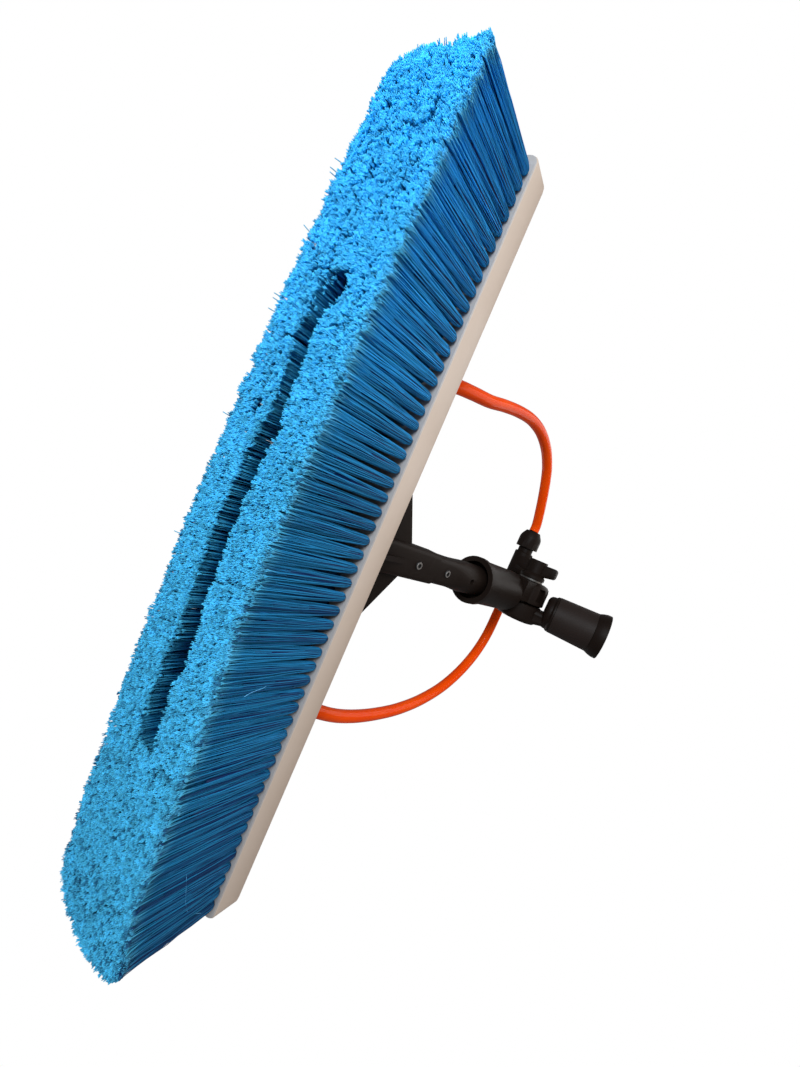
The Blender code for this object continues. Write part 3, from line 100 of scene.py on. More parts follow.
def put_in_scene(name: str, data: bpy.types.ID) -> bpy.types.Object:
    """Make an object of some data and put it in the scene.

    Args:
        name: the object's name.
        data: its mesh, curve, light or camera.

    Returns:
        The object.
    """
    item = bpy.data.objects.new(name, data)
    bpy.context.scene.collection.objects.link(item)
    return item


def join(tree: bpy.types.NodeTree, target: bpy.types.NodeSocket, value: object) -> None:
    """Feed an input from a socket, or else set it to a value.

    Args:
        tree: the node tree that the input is in.
        target: the input.
        value: a socket, a number, a vector or a colour.
    """
    if isinstance(value, bpy.types.NodeSocket):
        tree.links.new(value, target)
    else:
        target.default_value = value


def add_node(tree: bpy.types.NodeTree, kind: str, inputs: dict | None = None,
             **options: object) -> bpy.types.Node:
    """Add a node to a tree.

    Args:
        tree: the node tree.
        kind: Blender's name for the type of node.
        inputs: sockets or values for its inputs, by name or number.
        options: its settings, which are set first.

    Returns:
        The node.
    """
    node = tree.nodes.new(kind)
    for key, value in options.items():
        setattr(node, key, value)
    for key, value in (inputs or {}).items():
        join(tree, node.inputs[key], value)
    return node


# Shader effects


@dataclass
class EffectLibrary:
    """Node groups that are built once and placed in each material with its own values."""

    grain_detail: float = 3.0
    grain_roughness: float = 0.65
    cloud_detail: float = 4.0
    cloud_span: Span = (0.3, 0.7)
    scuff_detail: float = 6.0
    scuff_distortion: float = 0.6
    scuff_full: float = 0.9
    scuff_stretch: Point = (0.35, 1.0, 1.6)
    scuff_turn: Point = (0.4, 0.2, 0.7)

    def __post_init__(self) -> None:
        """Build every group."""
        self.groups = {Effect.GRAIN: self._grain(), Effect.CLOUDING: self._clouding(),
                       Effect.SCUFFS: self._scuffs()}

    @staticmethod
    def _start(effect: Effect, inputs: tuple[str, ...], output: str) -> tuple:
        """Open a group with its sockets, all of them values.

        Args:
            effect: which effect it is for, which names it.
            inputs: names of the inputs.
            output: name of the output.

        Returns:
            The group, the sockets that bring in its inputs, the object coordinate's socket and the output's.
        """
        tree = bpy.data.node_groups.new(effect.value, "ShaderNodeTree")
        for name in inputs:
            tree.interface.new_socket(name, in_out="INPUT", socket_type="NodeSocketFloat")
        tree.interface.new_socket(output, in_out="OUTPUT", socket_type="NodeSocketFloat")
        entry = tree.nodes.new("NodeGroupInput")
        leave = tree.nodes.new("NodeGroupOutput")
        place = tree.nodes.new("ShaderNodeTexCoord")
        return tree, entry.outputs, place.outputs["Object"], leave.inputs[output]

    def _grain(self) -> bpy.types.NodeTree:
        """Build the fine spark-eroded texture of a moulding.

        Returns:
            Its group.
        """
        tree, given, place, height = self._start(Effect.GRAIN, ("Scale",), "Height")
        noise = add_node(tree, "ShaderNodeTexNoise", {
            "Vector": place, "Scale": given["Scale"], "Detail": self.grain_detail,
            "Roughness": self.grain_roughness})
        tree.links.new(noise.outputs["Fac"], height)
        return tree

    def _clouding(self) -> bpy.types.NodeTree:
        """Build slow changes of tone over a surface.

        Returns:
            Its group, with a mask from 0 to 1.
        """
        tree, given, place, mask = self._start(Effect.CLOUDING, ("Scale",), "Mask")
        noise = add_node(tree, "ShaderNodeTexNoise", {
            "Vector": place, "Scale": given["Scale"], "Detail": self.cloud_detail})
        low, high = self.cloud_span
        spread = add_node(tree, "ShaderNodeMapRange", {
            "Value": noise.outputs["Fac"], "From Min": low, "From Max": high})
        tree.links.new(spread.outputs["Result"], mask)
        return tree

    def _scuffs(self) -> bpy.types.NodeTree:
        """Build sparse short rubbed marks.

        Returns:
            Its group, with a mask that is 0 but for the marks.
        """
        tree, given, place, mask = self._start(Effect.SCUFFS, ("Scale", "Threshold"), "Mask")
        stretch = add_node(tree, "ShaderNodeMapping", {
            "Vector": place, "Scale": self.scuff_stretch, "Rotation": self.scuff_turn})
        noise = add_node(tree, "ShaderNodeTexNoise", {
            "Vector": stretch.outputs["Vector"], "Scale": given["Scale"], "Detail": self.scuff_detail,
            "Distortion": self.scuff_distortion})
        keep = add_node(tree, "ShaderNodeMapRange", {
            "Value": noise.outputs["Fac"], "From Min": given["Threshold"], "From Max": self.scuff_full})
        tree.links.new(keep.outputs["Result"], mask)
        return tree


@dataclass
class MaterialMaker:
    """A Principled material under construction, with the few node moves that every finish needs."""

    slot: Slot
    library: EffectLibrary

    def __post_init__(self) -> None:
        """Start the material."""
        self.material = bpy.data.materials.new(self.slot.value)
        self.material.use_nodes = True
        self.tree = self.material.node_tree
        self.shader = self.tree.nodes["Principled BSDF"]

    def add(self, kind: str, inputs: dict | None = None, **options: object) -> bpy.types.Node:
        """Add a node to the material, as add_node does."""
        return add_node(self.tree, kind, inputs, **options)

    def shade(self, **inputs: object) -> None:
        """Feed or set the shader's own sockets, with underscores for the spaces of their names."""
        for key, value in inputs.items():
            join(self.tree, self.shader.inputs[key.replace("_", " ")], value)

    def effect(self, effect: Effect, **values: float) -> bpy.types.NodeSocket:
        """Place a shader effect.

        Args:
            effect: which one.
            values: what its inputs are set to.

        Returns:
            The socket of its result.
        """
        return self.add("ShaderNodeGroup", values, node_tree=self.library.groups[effect]).outputs[0]

    def mix_colours(self, mask: bpy.types.NodeSocket, first: Colour | bpy.types.NodeSocket,
                    second: Colour | bpy.types.NodeSocket) -> bpy.types.NodeSocket:
        """Mix two colours by a mask.

        Args:
            mask: where the second colour shows.
            first: a colour, or a socket that gives one.
            second: likewise.

        Returns:
            The mixed colour's socket.
        """
        node = self.add("ShaderNodeMix", {"Factor": mask}, data_type="RGBA")
        for key, colour in (("A", first), ("B", second)):
            target = next(s for s in node.inputs if s.name == key and s.type == "RGBA")
            join(self.tree, target, colour if isinstance(colour, bpy.types.NodeSocket) else (*colour, 1.0))
        return next(s for s in node.outputs if s.type == "RGBA")

    def ramp(self, value: bpy.types.NodeSocket, span: Span, result: Span = FULL_SPAN) -> bpy.types.NodeSocket:
        """Map a value from one range to another.

        Args:
            value: the socket that is read.
            span: start and end of its range.
            result: what the start and the end become.

        Returns:
            The mapped value's socket.
        """
        (low, high), (to_low, to_high) = span, result
        node = self.add("ShaderNodeMapRange", {
            "Value": value, "From Min": low, "From Max": high, "To Min": to_low, "To Max": to_high})
        return node.outputs["Result"]

    def grain(self, scale: float, depth: float, strength: float) -> None:
        """Give the shader a fine bump.

        Args:
            scale: how fine the grain is.
            depth: how deep its full height is.
            strength: share of the bump that is used.
        """
        bump = self.add("ShaderNodeBump", {
            "Height": self.effect(Effect.GRAIN, Scale=scale), "Distance": depth, "Strength": strength})
        self.shade(Normal=bump.outputs["Normal"])


# Finishes


@dataclass(frozen=True, kw_only=True)
class Finish:
    """A finish of one slot, with its fine grain. Each kind of finish has its own way to paint."""

    slot: Slot
    grain_scale: float = 900.0
    grain_depth: float = 0.00006
    grain_strength: float = 1.0

    def make(self, library: EffectLibrary) -> bpy.types.Material:
        """Build the material.

        Args:
            library: the shader effects.

        Returns:
            The material.
        """
        maker = MaterialMaker(self.slot, library)
        self.paint(maker)
        maker.grain(self.grain_scale, self.grain_depth, self.grain_strength)
        return maker.material

    def paint(self, maker: MaterialMaker) -> None:
        """Set the colours and the gloss.

        Args:
            maker: the material under construction.
        """
        raise NotImplementedError


@dataclass(frozen=True, kw_only=True)
class MouldedFinish(Finish):
    """Moulded plastic or rubber with fine grain, clouding and a few rubbed marks.

    A piece that is darker from below gets painted shade there, in its under colour. It comes in where the
    surface faces down, as the normal's Z goes from one end of its under span to the other.
    """

    colour: Colour
    cloud_colour: Colour
    scuff_colour: Colour
    roughness: float
    specular: float = 0.5
    cloud_scale: float = 22.0
    scuff_scale: float = 70.0
    scuff_threshold: float = 0.66
    smoother_by: float = 0.05
    rougher_by: float = 0.06
    under_shade_colour: Colour | None = None
    under_shade_span: Span = (-0.6, -0.95)

    def paint(self, maker: MaterialMaker) -> None:
        """Set the colours and the gloss.

        Args:
            maker: the material under construction.
        """
        cloud = maker.effect(Effect.CLOUDING, Scale=self.cloud_scale)
        scuff = maker.effect(Effect.SCUFFS, Scale=self.scuff_scale, Threshold=self.scuff_threshold)
        base = maker.mix_colours(cloud, self.colour, self.cloud_colour)
        # Painted shade: the under colour darkens the faces that point down.
        if self.under_shade_colour:
            normal = maker.add("ShaderNodeNewGeometry").outputs["Normal"]
            facing = maker.add("ShaderNodeSeparateXYZ", {0: normal}).outputs["Z"]
            base = maker.mix_colours(maker.ramp(facing, self.under_shade_span), base, self.under_shade_colour)
        roughness = (self.roughness - self.smoother_by, self.roughness + self.rougher_by)
        maker.shade(Base_Color=maker.mix_colours(scuff, base, self.scuff_colour),
                    Roughness=maker.ramp(cloud, FULL_SPAN, roughness), Specular_IOR_Level=self.specular)


@dataclass(frozen=True, kw_only=True)
class MetalFinish(Finish):
    """Plated metal with fine turning marks."""

    colour: Colour
    dull_colour: Colour
    roughness: Span
    cloud_scale: float = 160.0
    grain_scale: float = 2400.0
    grain_depth: float = 0.00002

    def paint(self, maker: MaterialMaker) -> None:
        """Set the colours and the gloss.

        Args:
            maker: the material under construction.
        """
        cloud = maker.effect(Effect.CLOUDING, Scale=self.cloud_scale)
        maker.shade(Base_Color=maker.mix_colours(cloud, self.colour, self.dull_colour),
                    Roughness=maker.ramp(cloud, FULL_SPAN, self.roughness), Metallic=1.0)


@dataclass(frozen=True, kw_only=True)
class RivetFinish(Finish):
    """Bright rolled rim of a hollow rivet round its dark bore; both rivets lie across the leaning handle."""

    centre: Point
    slot: Slot = Slot.ALUMINIUM
    rim_colour: Colour = (0.36, 0.34, 0.33)
    # The bore colour is painted shade in the bore; the same dark colour covers all outside the rim.
    bore_colour: Colour = (0.006, 0.005, 0.005)
    rim_metallic: float = 0.9
    rim_roughness: float = 0.34
    bore_roughness: float = 0.7
    lean: float = math.radians(13.5)
    spacing: float = 0.036
    bore_radius: float = 0.0017
    rim_radius: float = 0.0025
    soft_edge: float = 0.0002
    grain_scale: float = 2400.0
    grain_depth: float = 0.00002

    def paint(self, maker: MaterialMaker) -> None:
        """Set the colours and the gloss.

        Args:
            maker: the material under construction.
        """
        place = maker.add("ShaderNodeTexCoord").outputs["Object"]
        offset = maker.add("ShaderNodeVectorMath", {0: place, 1: self.centre}, operation="SUBTRACT")
        turn = maker.add("ShaderNodeVectorRotate", {"Vector": offset.outputs["Vector"], "Angle": self.lean},
                         rotation_type="X_AXIS")
        split = maker.add("ShaderNodeSeparateXYZ", {0: turn.outputs["Vector"]})
        wrap = maker.add("ShaderNodeMath", {0: split.outputs["Z"], 1: self.spacing / 2, 2: -self.spacing / 2},
                         operation="WRAP")
        flat = maker.add("ShaderNodeCombineXYZ", {"X": split.outputs["X"], "Z": wrap.outputs[0]})
        radius = maker.add("ShaderNodeVectorMath", {0: flat.outputs[0]}, operation="LENGTH").outputs["Value"]
        # Painted shade in the bore: dark inside the bore radius, and the same dark colour outside the rim.
        off_bore = maker.ramp(radius, (self.bore_radius, self.bore_radius + self.soft_edge))
        on_rim = maker.ramp(radius, (self.rim_radius, self.rim_radius + self.soft_edge), (1.0, 0.0))
        rim = maker.add("ShaderNodeMath", {0: off_bore, 1: on_rim}, operation="MULTIPLY").outputs[0]
        maker.shade(Base_Color=maker.mix_colours(rim, self.bore_colour, self.rim_colour),
                    Metallic=maker.ramp(rim, FULL_SPAN, (0.0, self.rim_metallic)),
                    Roughness=maker.ramp(rim, FULL_SPAN, (self.bore_roughness, self.rim_roughness)))


@dataclass(frozen=True, kw_only=True)
class HoseFinish(Finish):
    """Clear orange tube with a bright skin and faint clouding."""

    slot: Slot = Slot.HOSE
    colour: Colour = (1.0, 0.088, 0.002)
    deep_colour: Colour = (0.94, 0.066, 0.001)
    cloud_scale: float = 35.0
    roughness: Span = (0.12, 0.18)
    specular: float = 0.06
    coat: float = 0.04
    coat_roughness: float = 0.06
    glow: float = 0.1
    glow_depth: float = 0.003
    glow_radius: Point = (1.0, 0.25, 0.05)
    grain_scale: float = 40.0
    grain_depth: float = 0.00001
    grain_strength: float = 0.4

    def paint(self, maker: MaterialMaker) -> None:
        """Set the colours and the gloss.

        Args:
            maker: the material under construction.
        """
        cloud = maker.effect(Effect.CLOUDING, Scale=self.cloud_scale)
        maker.shade(Base_Color=maker.mix_colours(cloud, self.colour, self.deep_colour),
                    Roughness=maker.ramp(cloud, FULL_SPAN, self.roughness), Specular_IOR_Level=self.specular,
                    Coat_Weight=self.coat, Coat_Roughness=self.coat_roughness, Subsurface_Weight=self.glow,
                    Subsurface_Scale=self.glow_depth, Subsurface_Radius=self.glow_radius)


@dataclass(frozen=True, kw_only=True)
class FilamentFinish(Finish):
    """Blue filament, deeper along its length, and pale where its end is split.

    The spans of the shaft and the tip hold heights. The darker root colour near the block is painted shade,
    and the tip colour reaches well above the split, so its pale colour is partly the split ends and partly
    painted light in the gaps between the tips. A filament's tone attribute makes it darker or brighter, by
    chance and with painted shade and painted light, and below 0 it mixes in the deep colour, a painted shade
    of dark navy. Its worn attribute mixes in the worn colour.
    """

    slot: Slot = Slot.BRISTLE
    root_colour: Colour = (0.014, 0.255, 0.565)
    shaft_colour: Colour = (0.016, 0.278, 0.595)
    shaft_span: Span = (0.066, 0.030)
    tip_colour: Colour = (0.105, 0.67, 0.99)
    tip_span: Span = (0.0110, 0.0015)
    worn_colour: Colour = (0.17, 0.52, 0.88)
    deep_colour: Colour = (0.003, 0.075, 0.34)
    painted_shade_tones: Span = (0.0, -0.7)
    tones: Span = (-1.0, 2.0)
    brightness: Span = (0.16, 1.93)
    roughness: Span = (0.55, 0.62)
    specular: float = 0.2
    grain_scale: float = 1500.0
    grain_depth: float = 0.00003

    def paint(self, maker: MaterialMaker) -> None:
        """Set the colours and the gloss.

        Args:
            maker: the material under construction.
        """
        place = maker.add("ShaderNodeTexCoord").outputs["Object"]
        height = maker.add("ShaderNodeSeparateXYZ", {0: place}).outputs["Z"]
        tip = maker.ramp(height, self.tip_span)
        tone, worn = (maker.add("ShaderNodeAttribute", attribute_name=name).outputs["Fac"]
                      for name in ("tone", "worn"))
        # The root colour and the deep colour are painted shade; the tip colour is partly painted light.
        colour = self.root_colour
        for mask, added in ((maker.ramp(height, self.shaft_span), self.shaft_colour), (tip, self.tip_colour),
                            (worn, self.worn_colour), (maker.ramp(tone, self.painted_shade_tones), self.deep_colour)):
            colour = maker.mix_colours(mask, colour, added)
        value = maker.ramp(tone, self.tones, self.brightness)
        shade = maker.add("ShaderNodeHueSaturation", {"Color": colour, "Value": value})
        maker.shade(Base_Color=shade.outputs["Color"], Roughness=maker.ramp(tip, FULL_SPAN, self.roughness),
                    Specular_IOR_Level=self.specular)


class FinishSet:
    """Every material of the brush, by its slot."""

    def __init__(self, library: EffectLibrary) -> None:
        """Make the materials.

        Args:
            library: the shader effects.
        """
        rivet = np.array([vertex.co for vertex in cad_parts["lower_rivet"].data.vertices])
        finishes = (
            # The block's under colour is painted shade on its faces that point down, the face between the
            # tufts among them.
            MouldedFinish(slot=Slot.BLOCK, colour=(0.67, 0.545, 0.455), cloud_colour=(0.64, 0.515, 0.425),
                          scuff_colour=(0.52, 0.42, 0.35), roughness=0.5, grain_scale=420.0,
                          grain_depth=0.00008, scuff_threshold=0.7, under_shade_colour=(0.42, 0.395, 0.39)),
            FilamentFinish(),
            MouldedFinish(slot=Slot.BLACK, colour=(0.0095, 0.0053, 0.0038), roughness=0.5, specular=0.11,
                          cloud_colour=(0.0128, 0.0078, 0.0058), scuff_colour=(0.026, 0.020, 0.016)),
            MouldedFinish(slot=Slot.GRIP, colour=(0.0185, 0.0120, 0.0100), roughness=0.56, specular=0.17,
                          cloud_colour=(0.0245, 0.0165, 0.0140), scuff_colour=(0.040, 0.031, 0.027),
                          grain_scale=620.0, grain_depth=0.00012),
            RivetFinish(centre=tuple((rivet.min(axis=0) + rivet.max(axis=0)) / 2)),
            MetalFinish(slot=Slot.ZINC, colour=(0.20, 0.19, 0.18), dull_colour=(0.14, 0.135, 0.13),
                        roughness=(0.45, 0.60)),
            HoseFinish(),
            MouldedFinish(slot=Slot.RUBBER, colour=(0.014, 0.014, 0.014), cloud_colour=(0.022, 0.022, 0.022),
                          scuff_colour=(0.05, 0.05, 0.05), roughness=0.75, grain_depth=0.0001),
        )
        self.materials = {finish.slot: finish.make(library) for finish in finishes}
        self.rounder = self._rounder()

    @staticmethod
    def _rounder(sharp_from: float = math.radians(31), merge_within: float = 0.000002) -> bpy.types.NodeTree:
        """Build a modifier that shades faceted curves smooth and keeps real edges.

        Args:
            sharp_from: the angle from which an edge stays sharp.
            merge_within: how near two vertices are merged.

        Returns:
            Its node tree.
        """
        tree = bpy.data.node_groups.new("round_shading", "GeometryNodeTree")
        for in_out in ("INPUT", "OUTPUT"):
            tree.interface.new_socket("Geometry", in_out=in_out, socket_type="NodeSocketGeometry")
        entry, leave = tree.nodes.new("NodeGroupInput"), tree.nodes.new("NodeGroupOutput")
        merge = add_node(tree, "GeometryNodeMergeByDistance", {
            "Geometry": entry.outputs[0], "Distance": merge_within})
        smooth = add_node(tree, "GeometryNodeSetShadeSmooth", {"Geometry": merge.outputs["Geometry"]})
        angle = add_node(tree, "GeometryNodeInputMeshEdgeAngle")
        is_edge = add_node(tree, "FunctionNodeCompare", {
            "A": angle.outputs["Unsigned Angle"], "B": sharp_from}, operation="GREATER_THAN")
        sharp = add_node(tree, "GeometryNodeSetShadeSmooth", {
            "Geometry": smooth.outputs["Geometry"], "Selection": is_edge.outputs[0], "Shade Smooth": False},
            domain="EDGE")
        tree.links.new(sharp.outputs["Geometry"], leave.inputs[0])
        return tree

    def dress(self, slot: Slot, *nodes: str) -> list[bpy.types.Object]:
        """Give nodes of the frame their finish.

        Args:
            slot: the finish's slot.
            nodes: the nodes' names.

        Returns:
            Their objects.
        """
        items = [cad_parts[node] for node in nodes]
        for item in items:
            item.data.materials.clear()
            item.modifiers.new("round_shading", "NODES").node_group = self.rounder
            self.put_on(item, slot)
        return items

    def put_on(self, piece: bpy.types.Object, slot: Slot) -> None:
        """Give a piece its material.

        Args:
            piece: a mesh or curve without a material.
            slot: the finish's slot.
        """
        piece.data.materials.append(self.materials[slot])


# Bristles


@dataclass(frozen=True)
class FieldPlan:
    """Which tuft cells one field of bristles covers, as first and past-last indices."""

    name: str
    columns: tuple[int, int]
    rows: tuple[int, int]


@dataclass(frozen=True)
class TrimShape:
    """Where the tips really stand: the straight grid of tufts is stretched between lines of the tip plane.

    The four long lines hold (x, y) and the two end lines hold (y, x).
    """

    far_edge: Line = (
        (-0.205, -0.0235), (-0.17, -0.0270), (-0.12, -0.0304), (-0.06, -0.0328), (0.0, -0.0335),
        (0.06, -0.0328), (0.12, -0.0304), (0.17, -0.0262), (0.21, -0.0215))
    slot_far: Line = (
        (-0.119, -0.0070), (-0.105, -0.0118), (-0.0856, -0.0103), (-0.0689, -0.0114), (-0.0589, -0.0092),
        (-0.0417, -0.0105), (-0.0258, -0.0130), (-0.0073, -0.0139), (0.0116, -0.0135), (0.0266, -0.0124),
        (0.0397, -0.0103), (0.0518, -0.0080), (0.0703, -0.0097), (0.0839, -0.0129), (0.1123, -0.0089))
    slot_near: Line = (
        (-0.1032, 0.0068), (-0.085, 0.0042), (-0.0718, 0.0074), (-0.0524, 0.0047), (-0.0443, 0.0025),
        (-0.027, 0.0020), (-0.0056, 0.0004), (0.011, 0.0016), (0.0328, 0.0022), (0.043, 0.0054),
        (0.06, 0.0016), (0.0725, 0.0021), (0.0859, 0.0008), (0.0984, 0.0030), (0.1107, 0.0109))
    near_edge: Line = (
        (-0.205, 0.0420), (-0.19, 0.0383), (-0.175, 0.0353), (-0.15, 0.0338), (-0.115, 0.0331),
        (-0.09, 0.0312), (-0.04, 0.0272), (0.0, 0.0267), (0.04, 0.0272), (0.09, 0.0269), (0.115, 0.0275),
        (0.14, 0.0289), (0.19, 0.0300), (0.21, 0.0312))
    lower_end: Line = (
        (-0.0238, -0.1834), (-0.0188, -0.1961), (-0.0092, -0.2029), (0.0048, -0.2057), (0.0191, -0.2071),
        (0.0315, -0.2042), (0.037, -0.2017), (0.041, -0.1970))
    upper_end: Line = (
        (-0.0207, 0.2015), (-0.0182, 0.2078), (-0.0134, 0.2114), (-0.0044, 0.2124), (0.0069, 0.2124),
        (0.0182, 0.2131), (0.0272, 0.2129), (0.0325, 0.2100))
    half_x: float = 0.2083
    half_y: float = 0.0312
    slot_half_x: float = 0.1130
    slot_half_y: float = 0.0078
    end_fade: float = 0.006
    end_reach: float = 0.055
    overrun_share: float = 1.1

    def place(self, tips: np.ndarray) -> np.ndarray:
        """Move tips from the straight grid to where they stand.

        Args:
            tips: places on the grid (filament, xy).

        Returns:
            The places in the measured shape.
        """
        x, y = tips[:, 0], tips[:, 1]
        lines = [np.interp(x, *np.array(line).T) for line in (self.far_edge, self.slot_far, self.slot_near,
                                                               self.near_edge)]
        beside_slot = np.clip((self.slot_half_x - np.abs(x)) / self.end_fade, 0, 1)
        shut_share = (self.half_y - self.slot_half_y) / (2 * self.half_y)
        for k, share in ((1, shut_share), (2, 1 - shut_share)):
            closed = lines[0] + (lines[3] - lines[0]) * share
            lines[k] = closed + (lines[k] - closed) * beside_slot
        knots = (-self.half_y, -self.slot_half_y, self.slot_half_y, self.half_y)
        moved_y = lines[0] + np.minimum(y - knots[0], 0) + np.maximum(y - knots[3], 0)
        for k in range(3):
            moved_y += np.clip((y - knots[k]) / (knots[k + 1] - knots[k]), 0, 1) * (lines[k + 1] - lines[k])
        moved_x = x.copy()
        for sign, line in ((-1, self.lower_end), (1, self.upper_end)):
            over = np.clip((sign * x - self.half_x + self.end_reach) / self.end_reach, 0, self.overrun_share)
            moved_x += over * (np.interp(moved_y, *np.array(line).T) - sign * self.half_x)
        return np.stack([moved_x, moved_y], axis=1)


@dataclass(frozen=True)
class TuftKind:
    """How one kind of tuft is made: its filaments, where they are bent, and how far it swells there."""

    filaments: int
    stations: Line
    has_core: bool


@dataclass(frozen=True)
class Tuft:
    """One tuft of the grid, and where it stands.

    Side is -1 or 1 in the outermost rows and 0 elsewhere, and in_wedge tells of the rows next to them. Loose
    and slot_end go from 0 to 1, to the trim's ragged upper end and to the ends of the slot.
    """

    kind: TuftKind
    centre: np.ndarray
    side: float
    beside_slot: bool
    in_wedge: bool
    loose: float
    slot_end: float


@dataclass(frozen=True)
class Scatter:
    """How far chance moves the filaments.

    Tuft_lean, clumping, tuft_cut and clump_cut hold a value for the neat lower end of the trim and what the
    ragged upper end adds. Depth and hair_spread are ranges.
    """

    tuft_lean: Span = (0.00028, 0.00025)
    tip_shift: float = 0.00040
    clumping: Span = (0.05, 0.08)
    slot_lean: float = 0.0007
    slot_fan: float = 0.0009
    slot_end_fan: float = 1.2
    tuft_cut: Span = (0.0004, 0.0006)
    clump_cut: Span = (0.0003, 0.0008)
    depth: Span = (0.0002, 0.0019)
    side_fray: float = 0.0034
    bend: float = 0.00017
    hair_spread: Span = (0.55, 1.2)
    hair_depth: float = 0.0011


@dataclass(frozen=True)
class ToneRules:
    """How bright and how worn filaments look, by chance and by where they stand.

    A span holds two places along the block: where a change starts, and where it is whole. Painted shade
    darkens the lower end and painted light brightens the upper end. The dims are painted shade on the shafts
    of the tufts beside the slot and next to the outermost rows, and a relief takes a share off at the ends of
    the slot. Near_tip is the share of a dim that is given back just above the split. The shaft light is
    painted light that brightens every shaft towards the upper end. The core tone paints the tufts' cores dark
    navy as shade.
    """

    chance: float = 0.85
    clump_chance: float = 0.15
    # Painted shade towards the lower end of the block and painted light towards the upper end.
    lower_end_shade: float = -0.32
    lower_end_shade_span: Span = (0.05, -0.20)
    upper_end_light: float = 0.38
    upper_end_light_span: Span = (0.02, 0.18)
    outward: float = -0.42
    slot_dim: float = 1.25
    upper_relief: float = 0.5
    lower_relief: float = 0.15
    wedge_dim: float = 1.1
    # Painted light on the shafts towards the upper end.
    shaft_light: float = 0.85
    shaft_light_span: Span = (0.02, 0.10)
    near_tip: float = 0.55
    wear: float = 0.32
    wear_reach: float = 1.3
    # Tone of the tufts' cores, painted dark navy as shade.
    core: float = -0.7
    fibre: float = 0.9
    fibre_wear: float = 0.8


@dataclass(frozen=True)
class Strays:
    """Bent filaments that stick out of the trim's outline or lean into its slot, and loose fibres beside it.

    Each step of a bend holds a height and the share of the poke that is reached there. A fibre holds its
    radius and its points.
    """

    at_outline: int = 24
    into_slot: int = 12
    reach_share: float = 0.95
    end_chance: float = 0.3
    lean: float = 0.4
    slot_lean: float = 0.5
    poke: Span = (0.0008, 0.0022)
    slot_poke_share: float = 1.8
    steps: Line = ((0.014, -1.0), (0.007, -0.3), (0.004, 0.2), (0.0022, 0.7), (0.0012, 1.0))
    sides: int = 5
    long_fibre: tuple = (0.00012, (
        (-0.1704, 0.0316, 0.0283), (-0.1800, 0.0324, 0.0316), (-0.1890, 0.0326, 0.0349),
        (-0.1965, 0.0324, 0.0388), (-0.2006, 0.0320, 0.0420), (-0.2050, 0.0316, 0.0475),
        (-0.2091, 0.0312, 0.0535)))
    short_fibre: tuple = (0.00011, (
        (-0.0731, 0.0318, 0.0164), (-0.0715, 0.0322, 0.0185), (-0.0705, 0.0324, 0.0216),
        (-0.0701, 0.0324, 0.0250), (-0.0695, 0.0320, 0.0278)))


@dataclass
class FilamentBatch:
    """Filaments that share one layout, gathered tuft by tuft."""

    shafts: list[np.ndarray] = field(default_factory=list)
    ends: list[np.ndarray] = field(default_factory=list)
    wear: list[np.ndarray] = field(default_factory=list)
    tone: list[np.ndarray] = field(default_factory=list)
    dim: list[np.ndarray] = field(default_factory=list)


def grown(pair: Span, loose: float) -> float:
    """Give a value of the neat end with a share of what the ragged end adds."""
    return pair[0] + pair[1] * loose


def ring(sides: int) -> np.ndarray:
    """Give the points of a flat ring of radius 1 (side, xyz)."""
    turn = np.arange(sides) * math.tau / sides
    return np.stack([np.cos(turn), np.sin(turn), np.zeros(sides)], axis=1)


def tube_faces(tubes: int, stations: int, sides: int, stride: int | None = None) -> np.ndarray:
    """Give the side faces of many tubes.

    Args:
        tubes: how many.
        stations: rings in each.
        sides: points in a ring.
        stride: points from one tube to the next, where that is more than its rings have.

    Returns:
        Faces of four, counted over (tube, station, side).
    """
    base = (np.arange(tubes) * (stride or stations * sides))[:, None, None]
    level = (np.arange(stations - 1) * sides)[None, :, None]
    i = np.arange(sides)[None, None, :]
    j = (i + 1) % sides
    low, low_next = base + level + i, base + level + j
    return np.stack([low, low + sides, low_next + sides, low_next], axis=-1).reshape(-1, 4)


def end_fans(tubes: int, stations: int, sides: int) -> np.ndarray:
    """Give the faces that close both ends of many tubes.

    Args:
        tubes: how many.
        stations: rings in each.
        sides: points in a ring.

    Returns:
        Faces of three, counted over (tube, station, side).
    """
    first = (np.arange(tubes) * stations * sides)[:, None]
    near, far = np.arange(1, sides - 1), np.arange(2, sides)
    fans = ((first, near, far), (first + (stations - 1) * sides, far, near))
    return np.concatenate([np.stack([base + 0 * a, base + a, base + b], axis=-1).reshape(-1, 3)
                           for base, a, b in fans])


